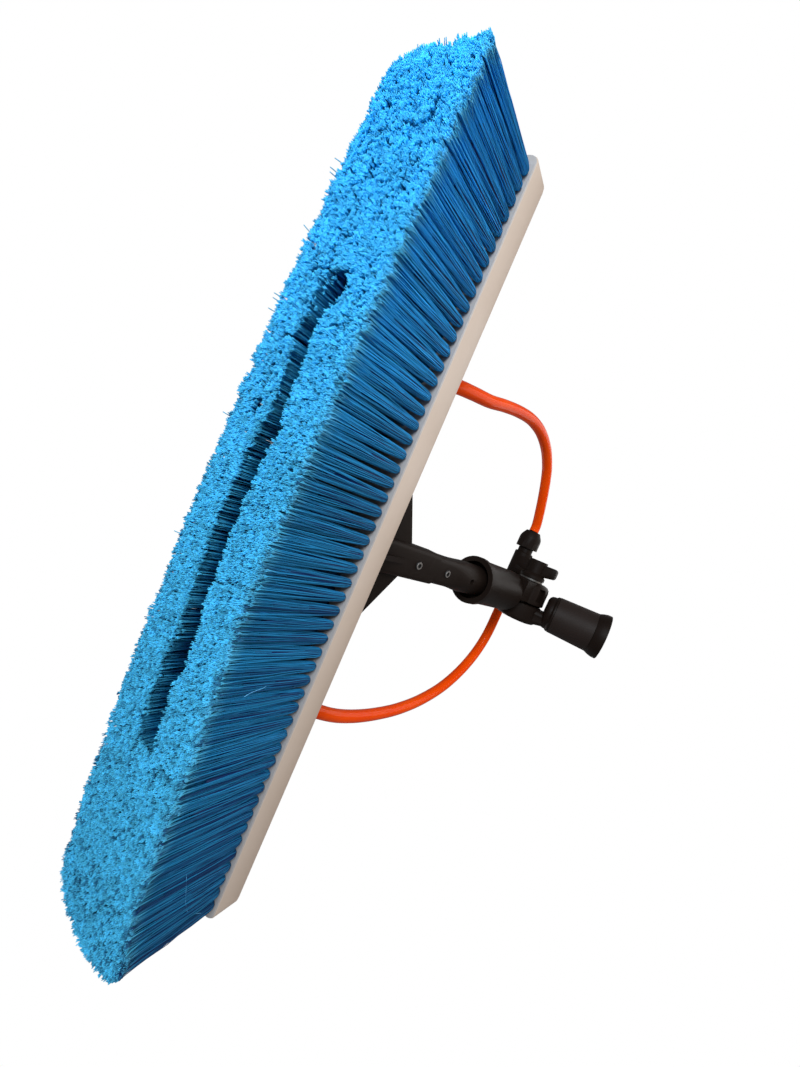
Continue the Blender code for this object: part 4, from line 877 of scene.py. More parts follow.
@dataclass
class MeshParts:
    """Vertices, faces and values of a mesh that is put together from many small pieces."""

    points: list[np.ndarray] = field(default_factory=list)
    quads: list[np.ndarray] = field(default_factory=list)
    triangles: list[np.ndarray] = field(default_factory=list)
    values: dict[str, list[np.ndarray]] = field(default_factory=lambda: {"tone": [], "worn": []})
    count: int = 0

    def add(self, points: np.ndarray, quads: np.ndarray, triangles: np.ndarray, tone: np.ndarray,
            worn: np.ndarray) -> None:
        """Add pieces.

        Args:
            points: their vertices, (vertex, xyz).
            quads: faces of four, counted from these vertices.
            triangles: faces of three, likewise.
            tone: a tone for each vertex.
            worn: how worn each vertex is.
        """
        self.points.append(points)
        self.quads.append(quads + self.count)
        self.triangles.append(triangles + self.count)
        self.values["tone"].append(tone)
        self.values["worn"].append(worn)
        self.count += len(points)

    def add_tubes(self, points: np.ndarray, tone: np.ndarray | float, worn: np.ndarray | float,
                  closed: bool) -> None:
        """Add tubes.

        Args:
            points: their rings (tube, station, side, xyz).
            tone: a tone for each ring (tube, station), or one for all.
            worn: how worn each ring is, or one value for all.
            closed: whether their ends are closed.
        """
        shape = points.shape[:3]
        caps = end_fans(*shape) if closed else np.zeros((0, 3), int)
        values = (np.broadcast_to(np.atleast_2d(value)[:, :, None], shape).ravel() for value in (tone, worn))
        self.add(points.reshape(-1, 3), tube_faces(*shape), caps, *values)

    def mesh(self, name: str) -> bpy.types.Mesh:
        """Make the mesh.

        Args:
            name: its name.

        Returns:
            The mesh, smooth, with its values as point attributes.
        """
        points, quads = np.concatenate(self.points), np.concatenate(self.quads)
        triangles = np.concatenate(self.triangles)
        mesh = bpy.data.meshes.new(name)
        loops = np.concatenate([quads.ravel(), triangles.ravel()]).astype(np.int32)
        starts = np.concatenate([np.arange(len(quads)) * 4, len(quads) * 4 + np.arange(len(triangles)) * 3])
        mesh.vertices.add(len(points))
        mesh.vertices.foreach_set("co", points.astype(np.float32).ravel())
        mesh.loops.add(len(loops))
        mesh.loops.foreach_set("vertex_index", loops)
        mesh.polygons.add(len(starts))
        mesh.polygons.foreach_set("loop_start", starts.astype(np.int32))
        mesh.update(calc_edges=True)
        mesh.shade_smooth()
        for key, values in self.values.items():
            attribute = mesh.attributes.new(key, "FLOAT", "POINT")
            attribute.data.foreach_set("value", np.concatenate(values).astype(np.float32))
        return mesh


@dataclass
class BristleTrim:
    """Four fields of tufts, each of many fine filaments with split ends, and the face they stand in.

    A level of a bead holds how far out and how far along the hair it is, and its size, all as shares. A level
    of a core holds its height and its size.
    """

    finishes: FinishSet
    block_length: float = 0.450
    block_width: float = 0.063
    end_rim: float = 0.0066
    side_rim: float = 0.0015
    face_z: float = 0.066
    columns: int = 53
    rows: int = 8
    slot_columns: int = 29
    slot_rows: int = 2
    piece_letters: str = "abcd"
    seed: int = 11
    clumps: int = 4
    tip_length_share: float = 0.96
    tip_overlap_share: float = 1.06
    root_radius: float = 0.0026
    root_shift: float = 0.0014
    root_crowding: float = -0.3
    split_at: float = 0.0030
    straight_stations: int = 3
    shaft_sides: int = 3
    filament_radius: float = 0.00023
    hairs: int = 4
    hair_reach: float = 0.00060
    hair_radius: float = 0.00030
    bead_sides: int = 4
    bead_levels: tuple[tuple[float, float, float], ...] = (
        (0.05, 0.0, 0.65), (0.72, 0.62, 0.95), (1.0, 0.93, 0.85))
    apex_reach_share: float = 0.05
    apex_drop_share: float = 0.6
    core_sides: int = 10
    core_levels: Line = ((0.0660, 0.35), (0.0650, 0.62), (0.0634, 0.78), (0.0600, 0.86), (0.0420, 0.84),
                         (0.019, 0.60))
    ragged_span: Span = (-0.06, 0.14)
    slot_end_span: Span = (0.07, 0.11)
    face_lip: float = 0.0007
    face_proud: float = 0.00005
    face_depth: float = 0.0019
    face_edge: float = 0.00004
    face_edge_steps: int = 2
    shape: TrimShape = TrimShape()
    scatter: Scatter = Scatter()
    tones: ToneRules = ToneRules()
    strays: Strays = Strays()
    outer: TuftKind = TuftKind(62, ((0.066, 0.50), (0.0651, 0.74), (0.0636, 0.91), (0.0605, 1.0),
                                    (0.047, 1.04), (0.030, 1.04), (0.0125, 1.0)), True)
    end: TuftKind = TuftKind(104, outer.stations, True)
    inner: TuftKind = TuftKind(46, ((0.066, 0.6), (0.046, 1.0), (0.020, 1.0)), False)

    def __post_init__(self) -> None:
        """Work out the tuft pitch and the cells of the slot, and start the random draws."""
        self.pitch_x = (self.block_length - 2 * self.end_rim) / self.columns
        self.pitch_y = (self.block_width - 2 * self.side_rim) / self.rows
        self.slot_from = (self.columns - self.slot_columns) // 2
        self.slot_to = self.columns - self.slot_from
        self.side_rows = (self.rows - self.slot_rows) // 2
        self.random = np.random.default_rng(self.seed)

    def plans(self) -> list[FieldPlan]:
        """Divide the grid of tufts into the four fields.

        Returns:
            Each field's cells.
        """
        beside = (self.slot_from, self.slot_to)
        return [
            FieldPlan("upper_end_bristles", (self.slot_to, self.columns), (0, self.rows)),
            FieldPlan("lower_end_bristles", (0, self.slot_from), (0, self.rows)),
            FieldPlan("near_bristles", beside, (self.rows - self.side_rows, self.rows)),
            FieldPlan("far_bristles", beside, (0, self.side_rows)),
        ]

    def kind_at(self, column: int, row: int) -> TuftKind:
        """Tell which kind a tuft is.

        Args:
            column: the tuft's column.
            row: the tuft's row.

        Returns:
            The finer kind for tufts whose sides can be seen, at the outline and round the slot, and the
            densest at the two ends, which are seen against the ground.
        """
        if column in (0, self.columns - 1):
            return self.end
        past_slot = self.side_rows + self.slot_rows
        at_outline = row in (0, self.rows - 1)
        at_slot_side = self.slot_from <= column < self.slot_to and row in (self.side_rows - 1, past_slot)
        at_slot_end = column in (self.slot_from - 1, self.slot_to) and self.side_rows <= row < past_slot
        return self.outer if at_outline or at_slot_side or at_slot_end else self.inner

    def tuft(self, column: int, row: int) -> Tuft:
        """Plan one tuft.

        Args:
            column: its column.
            row: its row.

        Returns:
            The tuft.
        """
        kind = self.kind_at(column, row)
        centre = np.array([(column + 0.5 - self.columns / 2) * self.pitch_x,
                           (row + 0.5 - self.rows / 2) * self.pitch_y])
        outermost = row in (0, self.rows - 1)
        return Tuft(kind, centre, side=math.copysign(1, centre[1]) if outermost else 0.0,
                    beside_slot=kind is self.outer and not outermost, in_wedge=row in (1, self.rows - 2),
                    loose=progress(centre[0], self.ragged_span),
                    slot_end=progress(abs(centre[0]), self.slot_end_span))

    def lay_tips(self, tuft: Tuft) -> tuple[np.ndarray, np.ndarray, np.ndarray]:
        """Lay out one tuft's filaments at the block and at their tips.

        Args:
            tuft: the tuft.

        Returns:
            Their places in a disc of radius 1 (filament, xy), their tips (filament, xy) and their clumps.
        """
        n, random, scatter = tuft.kind.filaments, self.random, self.scatter
        index = np.arange(n)
        turn = index * GOLDEN_ANGLE + random.uniform(0, math.tau)
        reach = np.sqrt((index + 0.5) / n)[:, None]
        disc = reach * np.stack([np.cos(turn), np.sin(turn)], axis=1)
        square = disc / np.abs(disc).max(axis=1, keepdims=True) * reach
        half = np.array([self.pitch_x * self.tip_length_share, self.pitch_y]) / 2 * self.tip_overlap_share
        lean = random.normal(0, grown(scatter.tuft_lean, tuft.loose), 2)
        tips = tuft.centre * np.array([self.tip_length_share, 1.0]) + lean + square * half
        tips += random.normal(0, scatter.tip_shift, (n, 2))
        heads = tips[random.choice(n, self.clumps, replace=False)]
        clump = np.linalg.norm(tips[:, None, :] - heads[None, :, :], axis=2).argmin(axis=1)
        tips += (heads[clump] - tips) * grown(scatter.clumping, tuft.loose)
        if tuft.beside_slot and tuft.centre[1] < 0:
            widening = 1 + scatter.slot_end_fan * tuft.slot_end
            slot_lean = random.normal(0, scatter.slot_lean)
            tips[:, 1] += slot_lean + random.exponential(scatter.slot_fan, n) * widening
        return disc, self.shape.place(tips), clump

    def cut_tips(self, tuft: Tuft, clump: np.ndarray, outward: np.ndarray) -> np.ndarray:
        """Cut one tuft's filaments to their lengths.

        Args:
            tuft: the tuft.
            clump: each filament's clump.
            outward: how far each filament stands to the trim's outside, from 0 to 1.

        Returns:
            How far each tip stays above the plane of the longest.
        """
        n, random, scatter = tuft.kind.filaments, self.random, self.scatter
        tuft_cut = random.uniform(0, grown(scatter.tuft_cut, tuft.loose))
        clump_cut = random.uniform(0, grown(scatter.clump_cut, tuft.loose), self.clumps)
        depth = tuft_cut + clump_cut[clump] + random.uniform(*scatter.depth, n)
        return depth + outward ** 2 * random.uniform(0, scatter.side_fray, n)

    def lay_shafts(self, tuft: Tuft, disc: np.ndarray, tips: np.ndarray, depth: np.ndarray) -> np.ndarray:
        """Run one tuft's filaments from the block to where they split.

        Args:
            tuft: the tuft.
            disc: their places in a disc of radius 1 (filament, xy).
            tips: their tips (filament, xy).
            depth: how far each tip stays above the plane of the longest.

        Returns:
            Their points (filament, station, xyz).
        """
        stations = len(tuft.kind.stations) + 1
        middle = tips.mean(axis=0)
        root = disc * np.linalg.norm(disc, axis=1, keepdims=True) ** self.root_crowding * self.root_radius
        root[:, 1] += tuft.side * self.root_shift
        points = np.zeros((len(disc), stations, 3))
        for k, (z, swell) in enumerate(tuft.kind.stations):
            down = 1 - z / self.face_z
            offset = root * (1 - down) + (tips - middle) * down
            points[:, k, :2] = tuft.centre * (1 - down) + middle * down + offset * swell
            points[:, k, 2] = z
        split = self.split_at + depth
        down = 1 - split[:, None] / self.face_z
        points[:, -1, :2] = (tuft.centre + root) * (1 - down) + tips * down
        points[:, -1, 2] = split
        bent = (len(disc), stations - self.straight_stations, 2)
        points[:, self.straight_stations:, :2] += self.random.normal(0, self.scatter.bend, bent)
        return points

    def split_ends(self, tips: np.ndarray, depth: np.ndarray) -> np.ndarray:
        """Spread the hairs that filaments are split into.

        Args:
            tips: the filaments' tips (filament, xy).
            depth: how far each tip stays above the plane of the longest.

        Returns:
            Ends of the hairs (filament, hair, xyz).
        """
        random, n = self.random, len(tips)
        turn = random.uniform(0, math.tau, (n, 1)) + np.arange(self.hairs) * math.tau / self.hairs
        spread = self.hair_reach * random.uniform(*self.scatter.hair_spread, (n, self.hairs))
        x, y = tips[:, :1] + spread * np.cos(turn), tips[:, 1:] + spread * np.sin(turn)
        z = depth[:, None] + random.uniform(0, self.scatter.hair_depth, (n, self.hairs))
        return np.stack([x, y, z], axis=-1)

    def tone_tuft(self, tuft: Tuft, clump: np.ndarray, outward: np.ndarray, batch: FilamentBatch) -> None:
        """Set how bright and how worn one tuft's filaments look.

        Args:
            tuft: the tuft.
            clump: each filament's clump.
            outward: how far each filament stands to the trim's outside, from 0 to 1.
            batch: what the values are added to.
        """
        n, random, tones, x = tuft.kind.filaments, self.random, self.tones, tuft.centre[0]
        # Painted shade darkens the shafts beside the slot and in the rows next to the outermost ones, less at
        # the ends of the slot.
        relief = tuft.slot_end * (tones.upper_relief if x > 0 else tones.lower_relief)
        dim = tones.slot_dim * tuft.beside_slot * (1 - relief) + tones.wedge_dim * tuft.in_wedge
        # Painted light takes some of that shade off towards the upper end.
        batch.dim.append(np.full(n, dim - tones.shaft_light * progress(x, tones.shaft_light_span)))
        batch.wear.append(np.clip(outward * tones.wear_reach, 0, 1) * random.uniform(0, tones.wear, n))
        chance = random.uniform(0, tones.chance, n)
        chance += random.uniform(-tones.clump_chance, tones.clump_chance, self.clumps)[clump]
        # Painted shade towards the lower end, painted light towards the upper end.
        lower_shade = tones.lower_end_shade * progress(x, tones.lower_end_shade_span)
        bright = tones.upper_end_light * progress(x, tones.upper_end_light_span)
        batch.tone.append(chance + (lower_shade + bright) + tones.outward * outward)

    def lay_tuft(self, tuft: Tuft, batch: FilamentBatch) -> np.ndarray:
        """Lay out one tuft.

        Args:
            tuft: the tuft.
            batch: what its filaments are added to.

        Returns:
            Middle of the tuft at its tips (xy).
        """
        disc, tips, clump = self.lay_tips(tuft)
        outward = np.clip(disc[:, 1] * tuft.side, 0, 1)
        depth = self.cut_tips(tuft, clump, outward)
        batch.shafts.append(self.lay_shafts(tuft, disc, tips, depth))
        batch.ends.append(self.split_ends(tips, depth))
        self.tone_tuft(tuft, clump, outward, batch)
        return tips.mean(axis=0)

    def add_filaments(self, parts: MeshParts, batch: FilamentBatch) -> None:
        """Turn a batch into tubes with split ends.

        Args:
            parts: the mesh that they are added to.
            batch: the filaments.
        """
        shafts, tone, dim, wear = (np.concatenate(values) for values in (batch.shafts, batch.tone, batch.dim,
                                                                         batch.wear))
        ring_tone = np.repeat(tone[:, None], shafts.shape[1], axis=1)
        # The dims paint shade on the shafts but not at the split, and give a share back just above it.
        ring_tone[:, :-1] -= dim[:, None]
        ring_tone[:, -2] += self.tones.near_tip * np.maximum(dim, 0)
        ring_wear = np.zeros_like(ring_tone)
        ring_wear[:, -1] = wear
        tubes = shafts[:, :, None, :] + ring(self.shaft_sides) * self.filament_radius
        parts.add_tubes(tubes, ring_tone, ring_wear, closed=False)
        self.add_hairs(parts, shafts[:, -1:, :], np.concatenate(batch.ends), tone, wear)

    def add_hairs(self, parts: MeshParts, split: np.ndarray, ends: np.ndarray, tone: np.ndarray,
                  wear: np.ndarray) -> None:
        """Make the hairs of split filaments, each a small pointed bead.

        Args:
            parts: the mesh that they are added to.
            split: where the filaments split (filament, 1, xyz).
            ends: ends of the hairs (filament, hair, xyz).
            tone: each filament's tone.
            wear: how worn each filament is.
        """
        sides, levels, along = self.bead_sides, self.bead_levels, ends - split
        bead = ring(sides) * self.hair_radius
        rings = [(split + along * np.array([out, out, up]))[:, :, None, :] + bead * size
                 for out, up, size in levels]
        apex = (ends + along * np.array([self.apex_reach_share, self.apex_reach_share, 0])
                - np.array([0, 0, self.apex_drop_share * self.hair_radius]))
        points = np.concatenate([*rings, apex[:, :, None, :]], axis=2)
        per_hair = points.shape[2]
        hairs = len(tone) * self.hairs
        last = (np.arange(1, hairs + 1) * per_hair - 1 - sides)[:, None]
        side = np.arange(sides)
        tops = np.repeat(last + sides, sides, axis=1)
        caps = np.stack([last + (side + 1) % sides, last + side, tops], axis=-1).reshape(-1, 3)
        parts.add(points.reshape(-1, 3), tube_faces(hairs, len(levels), sides, per_hair), caps,
                  np.repeat(tone, self.hairs * per_hair), np.repeat(wear, self.hairs * per_hair))

    def add_cores(self, parts: MeshParts, feet: np.ndarray, heads: np.ndarray) -> None:
        """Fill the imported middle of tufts, so that no light comes through near their roots.

        Args:
            parts: the mesh that they are added to.
            feet: middles of the tufts at the block (tuft, xy).
            heads: middles at the tips.
        """
        points = np.zeros((len(feet), len(self.core_levels), self.core_sides, 3))
        for k, (z, size) in enumerate(self.core_levels):
            down = 1 - z / self.face_z
            middle = feet * (1 - down) + heads * down
            radius = (self.root_radius * (1 - down) + self.pitch_x / 2 * down) * size
            points[:, k, :, :2] = middle[:, None, :] + ring(self.core_sides)[:, :2] * radius
            points[:, k, :, 2] = z
        # The cores are painted dark navy as shade, through the core tone.
        parts.add_tubes(points, self.tones.core, 0.0, closed=True)

    def finish_piece(self, parts: MeshParts, name: str, node: str) -> bpy.types.Object:
        """Turn mesh parts into a piece that rides the head and stands for a node.

        Args:
            parts: the mesh.
            name: the piece's name.
            node: the field's node.

        Returns:
            The piece.
        """
        mesh = parts.mesh(name)
        mesh.transform(Matrix.Translation((0, frame_shift_y(), 0)))
        piece = put_in_scene(name, mesh)
        self.finishes.put_on(piece, Slot.BRISTLE)
        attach(piece, BODY_HEAD)
        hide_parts(node)
        return piece

    def build_field(self, plan: FieldPlan) -> list[bpy.types.Object]:
        """Build the filaments of one field, as a few pieces side by side.

        Args:
            plan: the field's cells.

        Returns:
            The pieces.
        """
        pieces = []
        cuts = np.linspace(*plan.columns, len(self.piece_letters) + 1).round().astype(int)
        for letter, columns in zip(self.piece_letters, zip(cuts[:-1], cuts[1:])):
            parts = MeshParts()
            batches = {True: FilamentBatch(), False: FilamentBatch()}
            feet, heads = [], []
            for column in range(*columns):
                for row in range(*plan.rows):
                    tuft = self.tuft(column, row)
                    head = self.lay_tuft(tuft, batches[tuft.kind.has_core])
                    if tuft.kind.has_core:
                        feet.append(tuft.centre + np.array([0, tuft.side * self.root_shift]))
                        heads.append(head)
            for batch in batches.values():
                if batch.shafts:
                    self.add_filaments(parts, batch)
            self.add_cores(parts, np.array(feet), np.array(heads))
            pieces.append(self.finish_piece(parts, f"{plan.name}_{letter}", plan.name))
        return pieces

    def bend_stray(self, into_slot: bool) -> np.ndarray:
        """Bend one filament out of the trim's outline or into its slot.

        Args:
            into_slot: whether it leans into the slot.

        Returns:
            Its points (station, xyz).
        """
        random, strays, shape = self.random, self.strays, self.shape
        half = np.array([shape.half_x, shape.half_y])
        along = random.uniform(-strays.reach_share, strays.reach_share)
        sign = random.choice((-1.0, 1.0))
        if into_slot:
            spot = (along * shape.slot_half_x, -shape.slot_half_y)
            out = (random.normal(0, strays.slot_lean), 1.0)
        elif random.uniform() < strays.end_chance:
            spot, out = (sign, along) * half, (sign, random.normal(0, strays.lean))
        else:
            spot, out = (along, sign) * half, (random.normal(0, strays.lean), sign)
        edge = shape.place(np.array([spot]))[0]
        poke = random.uniform(*strays.poke) * (strays.slot_poke_share if into_slot else 1)
        return np.array([(*(edge + np.array(out) * poke * share), z) for z, share in strays.steps])

    def build_strays(self) -> bpy.types.Object:
        """Build the stray filaments and the loose fibres on the near side.

        Returns:
            The piece.
        """
        strays, parts = self.strays, MeshParts()
        lines = [(self.filament_radius, self.bend_stray(number >= strays.at_outline), 0.0, 0.0)
                 for number in range(strays.at_outline + strays.into_slot)]
        lines += [(radius, np.array(points), self.tones.fibre, self.tones.fibre_wear)
                  for radius, points in (strays.long_fibre, strays.short_fibre)]
        for radius, line, tone, worn in lines:
            parts.add_tubes((line[:, None, :] + ring(strays.sides) * radius)[None], tone, worn, closed=True)
        return self.finish_piece(parts, "stray_filaments", "near_bristles")

    def build_face(self) -> bpy.types.Object:
        """Build the block's face between the tufts, as a thin plate with an opening for the slot.

        Returns:
            The piece.
        """
        half_x = self.block_length / 2 - self.end_rim + self.face_lip
        half_y = self.block_width / 2 - self.side_rim + self.face_lip
        slot_x = self.slot_columns * self.pitch_x / 2 - self.face_lip
        slot_y = self.slot_rows * self.pitch_y / 2 - self.face_lip
        corners = [[(x, y), (-x, y), (-x, -y), (x, -y)] for x, y in ((half_x, half_y), (slot_x, slot_y))]
        levels = (self.face_z - self.face_proud, self.face_z + self.face_depth)
        points = [(x, y, z) for z in levels for outline in corners for x, y in outline]
        faces = []
        for i in range(4):
            j = (i + 1) % 4
            faces += [(i, i + 4, j + 4, j), (i + 8, j + 8, j + 12, i + 12), (i, j, j + 8, i + 8),
                      (i + 4, i + 12, j + 12, j + 4)]
        mesh = bpy.data.meshes.new("tuft_face")
        mesh.from_pydata(points, [], faces)
        mesh.update()
        piece = put_in_scene("tuft_face", mesh)
        soften = piece.modifiers.new("soft_edge", "BEVEL")
        soften.width = self.face_edge
        soften.segments = self.face_edge_steps
        self.finishes.put_on(piece, Slot.BLOCK)
        piece.location.y = frame_shift_y()
        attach(piece, BODY_HEAD)
        return piece

    def build(self) -> list[bpy.types.Object]:
        """Build all four fields, the strays and the face, and list the pieces."""
        pieces = [piece for plan in self.plans() for piece in self.build_field(plan)]
        return [*pieces, self.build_strays(), self.build_face()]


# Hoses


@dataclass
class Hose:
    """A round hose on a smooth route from the block to the tee."""

    name: str
    node: str
    route: list[Point]
    length: float
    finishes: FinishSet
    diameter: float = 0.010
    point_spacing: float = 0.004
    reads_per_span: int = 24
    roundness: int = 8

    def smooth_points(self) -> np.ndarray:
        """Read evenly spaced points off a smooth curve through the route.

        Returns:
            The points (point, xyz), moved to the frame's place.
        """
        route = np.array(self.route, dtype=float)
        padded = np.vstack([2 * route[0] - route[1], route, 2 * route[-1] - route[-2]])
        dense = []
        for i in range(1, len(padded) - 2):
            a, b, c, d = padded[i - 1:i + 3]
            for t in np.linspace(0, 1, self.reads_per_span, endpoint=False):
                dense.append(((2 * b) + (c - a) * t + (2 * a - 5 * b + 4 * c - d) * t ** 2
                              + (3 * b - a - 3 * c + d) * t ** 3) / 2)
        dense = np.array([*dense, route[-1]])
        travel = np.concatenate([[0], np.cumsum(np.linalg.norm(np.diff(dense, axis=0), axis=1))])
        stations = np.linspace(0, travel[-1], round(travel[-1] / self.point_spacing) + 1)
        points = np.stack([np.interp(stations, travel, dense[:, k]) for k in range(3)], axis=1)
        points[:, 1] += frame_shift_y()
        return points

    def build(self) -> bpy.types.Object:
        """Returns:
            The piece, which replaces the hose's node.
        """
        points = self.smooth_points()
        curve = bpy.data.curves.new(self.name, "CURVE")
        curve.dimensions = "3D"
        curve.bevel_depth = self.diameter / 2
        curve.bevel_resolution = self.roundness
        curve.use_fill_caps = True
        spline = curve.splines.new("POLY")
        spline.points.add(len(points) - 1)
        for point, place in zip(spline.points, points):
            point.co = (*place, 1.0)
        spline.use_smooth = True
        piece = put_in_scene(self.name, curve)
        self.finishes.put_on(piece, Slot.HOSE)
        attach(piece, BODY_HEAD)
        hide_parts(self.node)
        return piece


@dataclass
class WaterFeed:
    """The tee with its nuts, the jets and connectors on the block, and the two hoses.

    The middle shares place the given points of each route between its two straight leads.
    """

    finishes: FinishSet
    jet_from_centre: float = 0.1145
    connector_top_z: float = 0.1031
    gap: float = 0.0003
    lead_at_block: float = 0.0060
    lead_at_tee: float = 0.0080
    tee_x: float = 0.0195
    tee_y: float = 0.0324973
    tee_z: float = 0.3569986
    tee_nut_end: float = 0.0460
    hose_lengths: ClassVar[dict[str, float]] = {"upper": 0.302, "lower": 0.321}
    middle_shares: ClassVar[dict[str, tuple]] = {
        "upper": ((-0.149, 0.129, 0.064), (-0.280, 0.228, 0.153), (-0.407, 0.320, 0.248),
                  (-0.576, 0.403, 0.340), (-0.737, 0.495, 0.445), (-0.837, 0.591, 0.549),
                  (-0.822, 0.689, 0.657), (-0.659, 0.782, 0.760), (-0.378, 0.855, 0.839),
                  (-0.080, 0.902, 0.887), (0.288, 0.945, 0.931), (0.644, 0.975, 0.969)),
        "lower": ((-0.087, 0.123, 0.068), (-0.179, 0.240, 0.171), (-0.232, 0.354, 0.287),
                  (-0.252, 0.465, 0.410), (-0.242, 0.563, 0.517), (-0.186, 0.674, 0.641),
                  (-0.065, 0.788, 0.766), (0.106, 0.874, 0.862), (0.308, 0.939, 0.931),
                  (0.518, 0.975, 0.976), (0.734, 0.994, 0.997)),
    }

    def route(self, side: str) -> list[Point]:
        """Give the part's own route points of one hose, before the frame's shift.

        Args:
            side: upper or lower.

        Returns:
            The points, from the block to the tee.
        """
        sign = 1 if side == "upper" else -1
        block_x, tee_x = sign * self.jet_from_centre, self.tee_x + sign * self.tee_nut_end
        start = np.array((block_x, 0, self.connector_top_z + self.lead_at_block))
        end = np.array((tee_x + sign * self.lead_at_tee, self.tee_y, self.tee_z))
        middle = [tuple(start + np.array(shares) * (end - start)) for shares in self.middle_shares[side]]
        block_end = (block_x, 0, self.connector_top_z + self.gap)
        tee_end = (tee_x + sign * self.gap, self.tee_y, self.tee_z)
        return [block_end, tuple(start), *middle, tuple(end), tee_end]

    def build(self) -> list[bpy.types.Object]:
        """Build the hoses and dress the fittings.

        Returns:
            The pieces.
        """
        dress = self.finishes.dress
        pieces = []
        for side, length in self.hose_lengths.items():
            hose = Hose(f"{side}_feed_hose", f"{side}_hose", self.route(side), length, self.finishes)
            pieces.append(hose.build())
        pieces += dress(Slot.BLACK, "water_tee", "upper_hose_nut", "lower_hose_nut", "inlet_nut")
        for side in self.hose_lengths:
            pieces += dress(Slot.BLACK, f"{side}_jet", f"{side}_connector", f"{side}_connector_nut")
            pieces += dress(Slot.RUBBER, f"{side}_seal")
        return pieces


# Block, mount and joint


@dataclass
class BlockAndMount:
    """The white block, the finned mount on its back, and the stub, spigot and rivets of the handle."""

    finishes: FinishSet
    screw_count: int = 4

    def build(self) -> list[bpy.types.Object]:
        """Dress the nodes.

        Returns:
            Their objects.
        """
        screws = [f"bracket_screw_{number}" for number in range(1, self.screw_count + 1)]
        return [
            *self.finishes.dress(Slot.BLOCK, "brush_block"),
            *self.finishes.dress(Slot.BLACK, "handle_bracket", "handle_stub", "spigot", "spigot_bush"),
            *self.finishes.dress(Slot.ZINC, *screws),
            *self.finishes.dress(Slot.ALUMINIUM, "lower_rivet", "upper_rivet"),
        ]


@dataclass
class AngleJoint:
    """The toothed hinge between the handle and the pole socket, with its wing knob."""

    finishes: FinishSet

    def build(self) -> list[bpy.types.Object]:
        """Dress the nodes.

        Returns:
            Their objects.
        """
        return [
            *self.finishes.dress(Slot.BLACK, "joint_head", "wing_knob", "pole_socket", "socket_collar"),
            *self.finishes.dress(Slot.GRIP, "socket_grip"),
            *self.finishes.dress(Slot.ZINC, "joint_bolt", "knob_washer"),
        ]


# Studio


@dataclass(frozen=True)
class SoftLight:
    """A square soft light that faces a point."""

    name: str
    place: Point
    size: float
    power: float
    colour: Colour
    target: Point = (0.0, 0.0, 0.12)

    def build(self) -> bpy.types.Object:
        """Make the light.

        Returns:
            Its object.
        """
        data = bpy.data.lights.new(self.name, "AREA")
        data.energy = self.power
        data.size = self.size
        data.color = self.colour
        light = put_in_scene(self.name, data)
        light.location = self.place
        aim = Vector(self.target) - Vector(self.place)
        light.rotation_euler = aim.to_track_quat("-Z", "Y").to_euler()
        return light


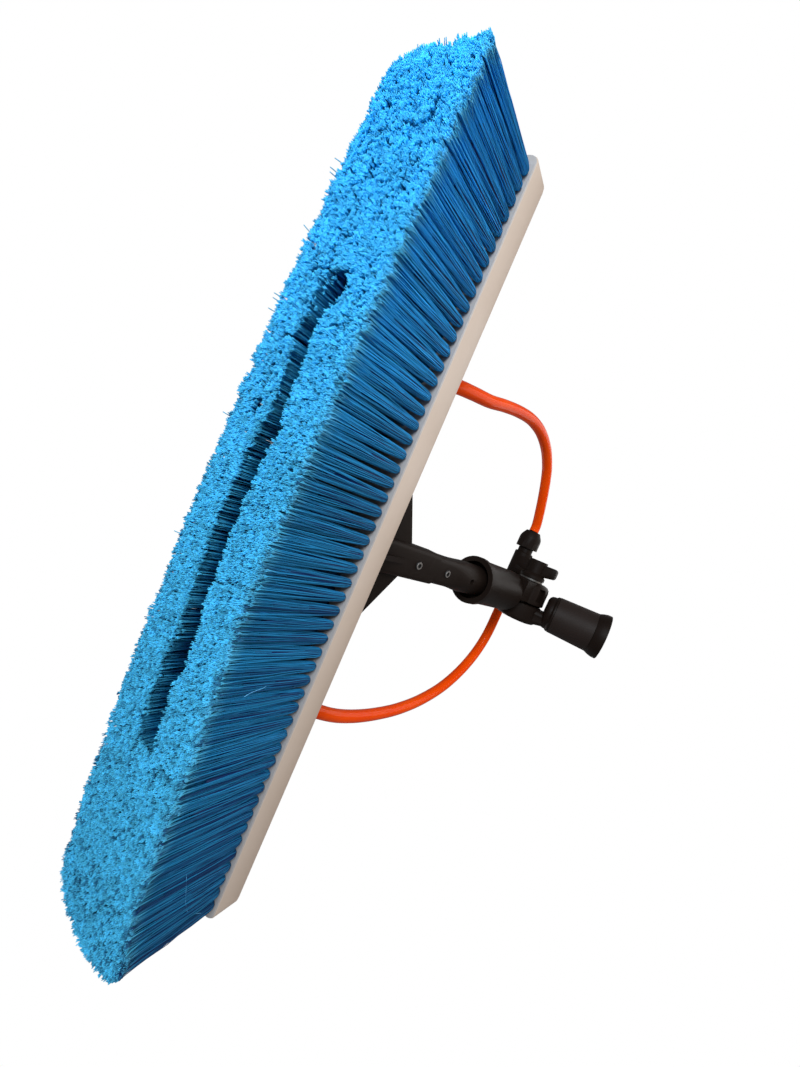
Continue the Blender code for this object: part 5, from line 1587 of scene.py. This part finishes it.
@dataclass
class Studio:
    """Pale floor, white surround, soft lights and the photo's camera, which looks up at the tips.

    The surround is plain white for the camera and weaker as a light.
    """

    floor_half: float = 6.0
    floor_grey: float = 0.42
    floor_roughness: float = 0.6
    floor_glow: float = 0.52
    world_light: float = 0.22
    world_white: float = 1.0
    camera_place: Point = (0.03119, 0.10069, -0.13201)
    camera_right: Point = (0.39606742, 0.78798444, 0.47139274)
    camera_up: Point = (0.91673324, -0.36855651, -0.15416311)
    camera_ahead: Point = (-0.05225673, -0.49320038, 0.86834476)
    camera_reach: Span = (0.001, 50.0)
    focal_pixels: float = 440.268
    long_side_pixels: float = 1067.0
    sensor: float = 36.0
    lights: ClassVar[tuple[SoftLight, ...]] = (
        SoftLight("tip_softbox", (0.52, 0.33, -0.76), 0.4, 10.5, (0.87, 0.95, 1.0)),
        SoftLight("side_softbox", (0.34, 0.88, 0.42), 0.52, 2.1, (1.0, 0.88, 0.77), (0.12, 0.0, 0.05)),
        SoftLight("top_softbox", (0.5, 0.7, 1.5), 1.2, 8.0, (1.0, 0.98, 0.96)),
        SoftLight("back_softbox", (-0.9, -1.1, 1.0), 1.2, 5.0, (0.97, 0.98, 1.0)),
    )

    def build_camera(self) -> bpy.types.Object:
        """Make the camera at the photo's place and angle.

        Returns:
            Its object.
        """
        data = bpy.data.cameras.new("photo_camera")
        data.sensor_width = self.sensor
        data.sensor_fit = "AUTO"
        data.lens = self.focal_pixels / self.long_side_pixels * self.sensor
        data.clip_start, data.clip_end = self.camera_reach
        camera = put_in_scene("photo_camera", data)
        axes = Matrix((self.camera_right, self.camera_up, [-c for c in self.camera_ahead])).transposed()
        camera.matrix_world = Matrix.Translation(self.camera_place) @ axes.to_4x4()
        bpy.context.scene.camera = camera
        return camera

    def build_world(self) -> None:
        """Make the surround, and show its white and the photo's colours as they are."""
        world = bpy.data.worlds.new("studio_white")
        world.use_nodes = True
        tree = world.node_tree
        seen = add_node(tree, "ShaderNodeLightPath").outputs["Is Camera Ray"]
        strength = add_node(tree, "ShaderNodeMapRange", {
            "Value": seen, "To Min": self.world_light, "To Max": self.world_white})
        ground = tree.nodes["Background"]
        join(tree, ground.inputs["Color"], WHITE)
        join(tree, ground.inputs["Strength"], strength.outputs["Result"])
        bpy.context.scene.world = world
        bpy.context.scene.view_settings.view_transform = "Standard"

    def floor_material(self) -> bpy.types.Material:
        """Make the floor's material, which glows for the camera and is clear from below and to shadows.

        Returns:
            The material.
        """
        material = bpy.data.materials.new("studio_floor")
        material.use_nodes = True
        tree = material.node_tree
        side = add_node(tree, "ShaderNodeNewGeometry")
        path = add_node(tree, "ShaderNodeLightPath")
        glow = add_node(tree, "ShaderNodeMath", {0: path.outputs["Is Camera Ray"], 1: self.floor_glow},
                        operation="MULTIPLY")
        is_clear = add_node(tree, "ShaderNodeMath", {
            0: side.outputs["Backfacing"], 1: path.outputs["Is Shadow Ray"]}, operation="MAXIMUM")
        shader = tree.nodes["Principled BSDF"]
        grey = self.floor_grey
        for key, value in (("Base Color", (grey, grey, grey, 1.0)), ("Roughness", self.floor_roughness),
                           ("Emission Color", WHITE), ("Emission Strength", glow.outputs[0])):
            join(tree, shader.inputs[key], value)
        clear = add_node(tree, "ShaderNodeBsdfTransparent")
        mix = add_node(tree, "ShaderNodeMixShader", {
            "Fac": is_clear.outputs[0], 1: shader.outputs["BSDF"], 2: clear.outputs["BSDF"]})
        join(tree, tree.nodes["Material Output"].inputs["Surface"], mix.outputs["Shader"])
        return material

    def build_floor(self) -> bpy.types.Object:
        """Make a pale floor that shows from above and lets light and the camera through from below.

        Returns:
            Its object.
        """
        half = self.floor_half
        mesh = bpy.data.meshes.new("studio_floor")
        mesh.from_pydata([(-half, -half, 0), (half, -half, 0), (half, half, 0), (-half, half, 0)], [],
                         [(0, 1, 2, 3)])
        mesh.materials.append(self.floor_material())
        floor = put_in_scene("studio_floor", mesh)
        return floor

    def build(self) -> list[bpy.types.Object]:
        """Make the camera, the surround, the floor and the lights, and list their objects."""
        self.build_world()
        return [self.build_camera(), self.build_floor(), *(light.build() for light in self.lights)]


def main() -> None:
    """Build the studio and every sub-assembly in order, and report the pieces."""
    logging.basicConfig(level=logging.INFO, format="%(message)s")
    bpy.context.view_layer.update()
    finishes = FinishSet(EffectLibrary())
    for assembly in (Studio(), WaterFeed(finishes), BristleTrim(finishes), BlockAndMount(finishes),
                     AngleJoint(finishes)):
        for piece in assembly.build():
            LOG.info("%s: %s", type(assembly).__name__, piece.name)


if __name__ == "__main__":
    main()
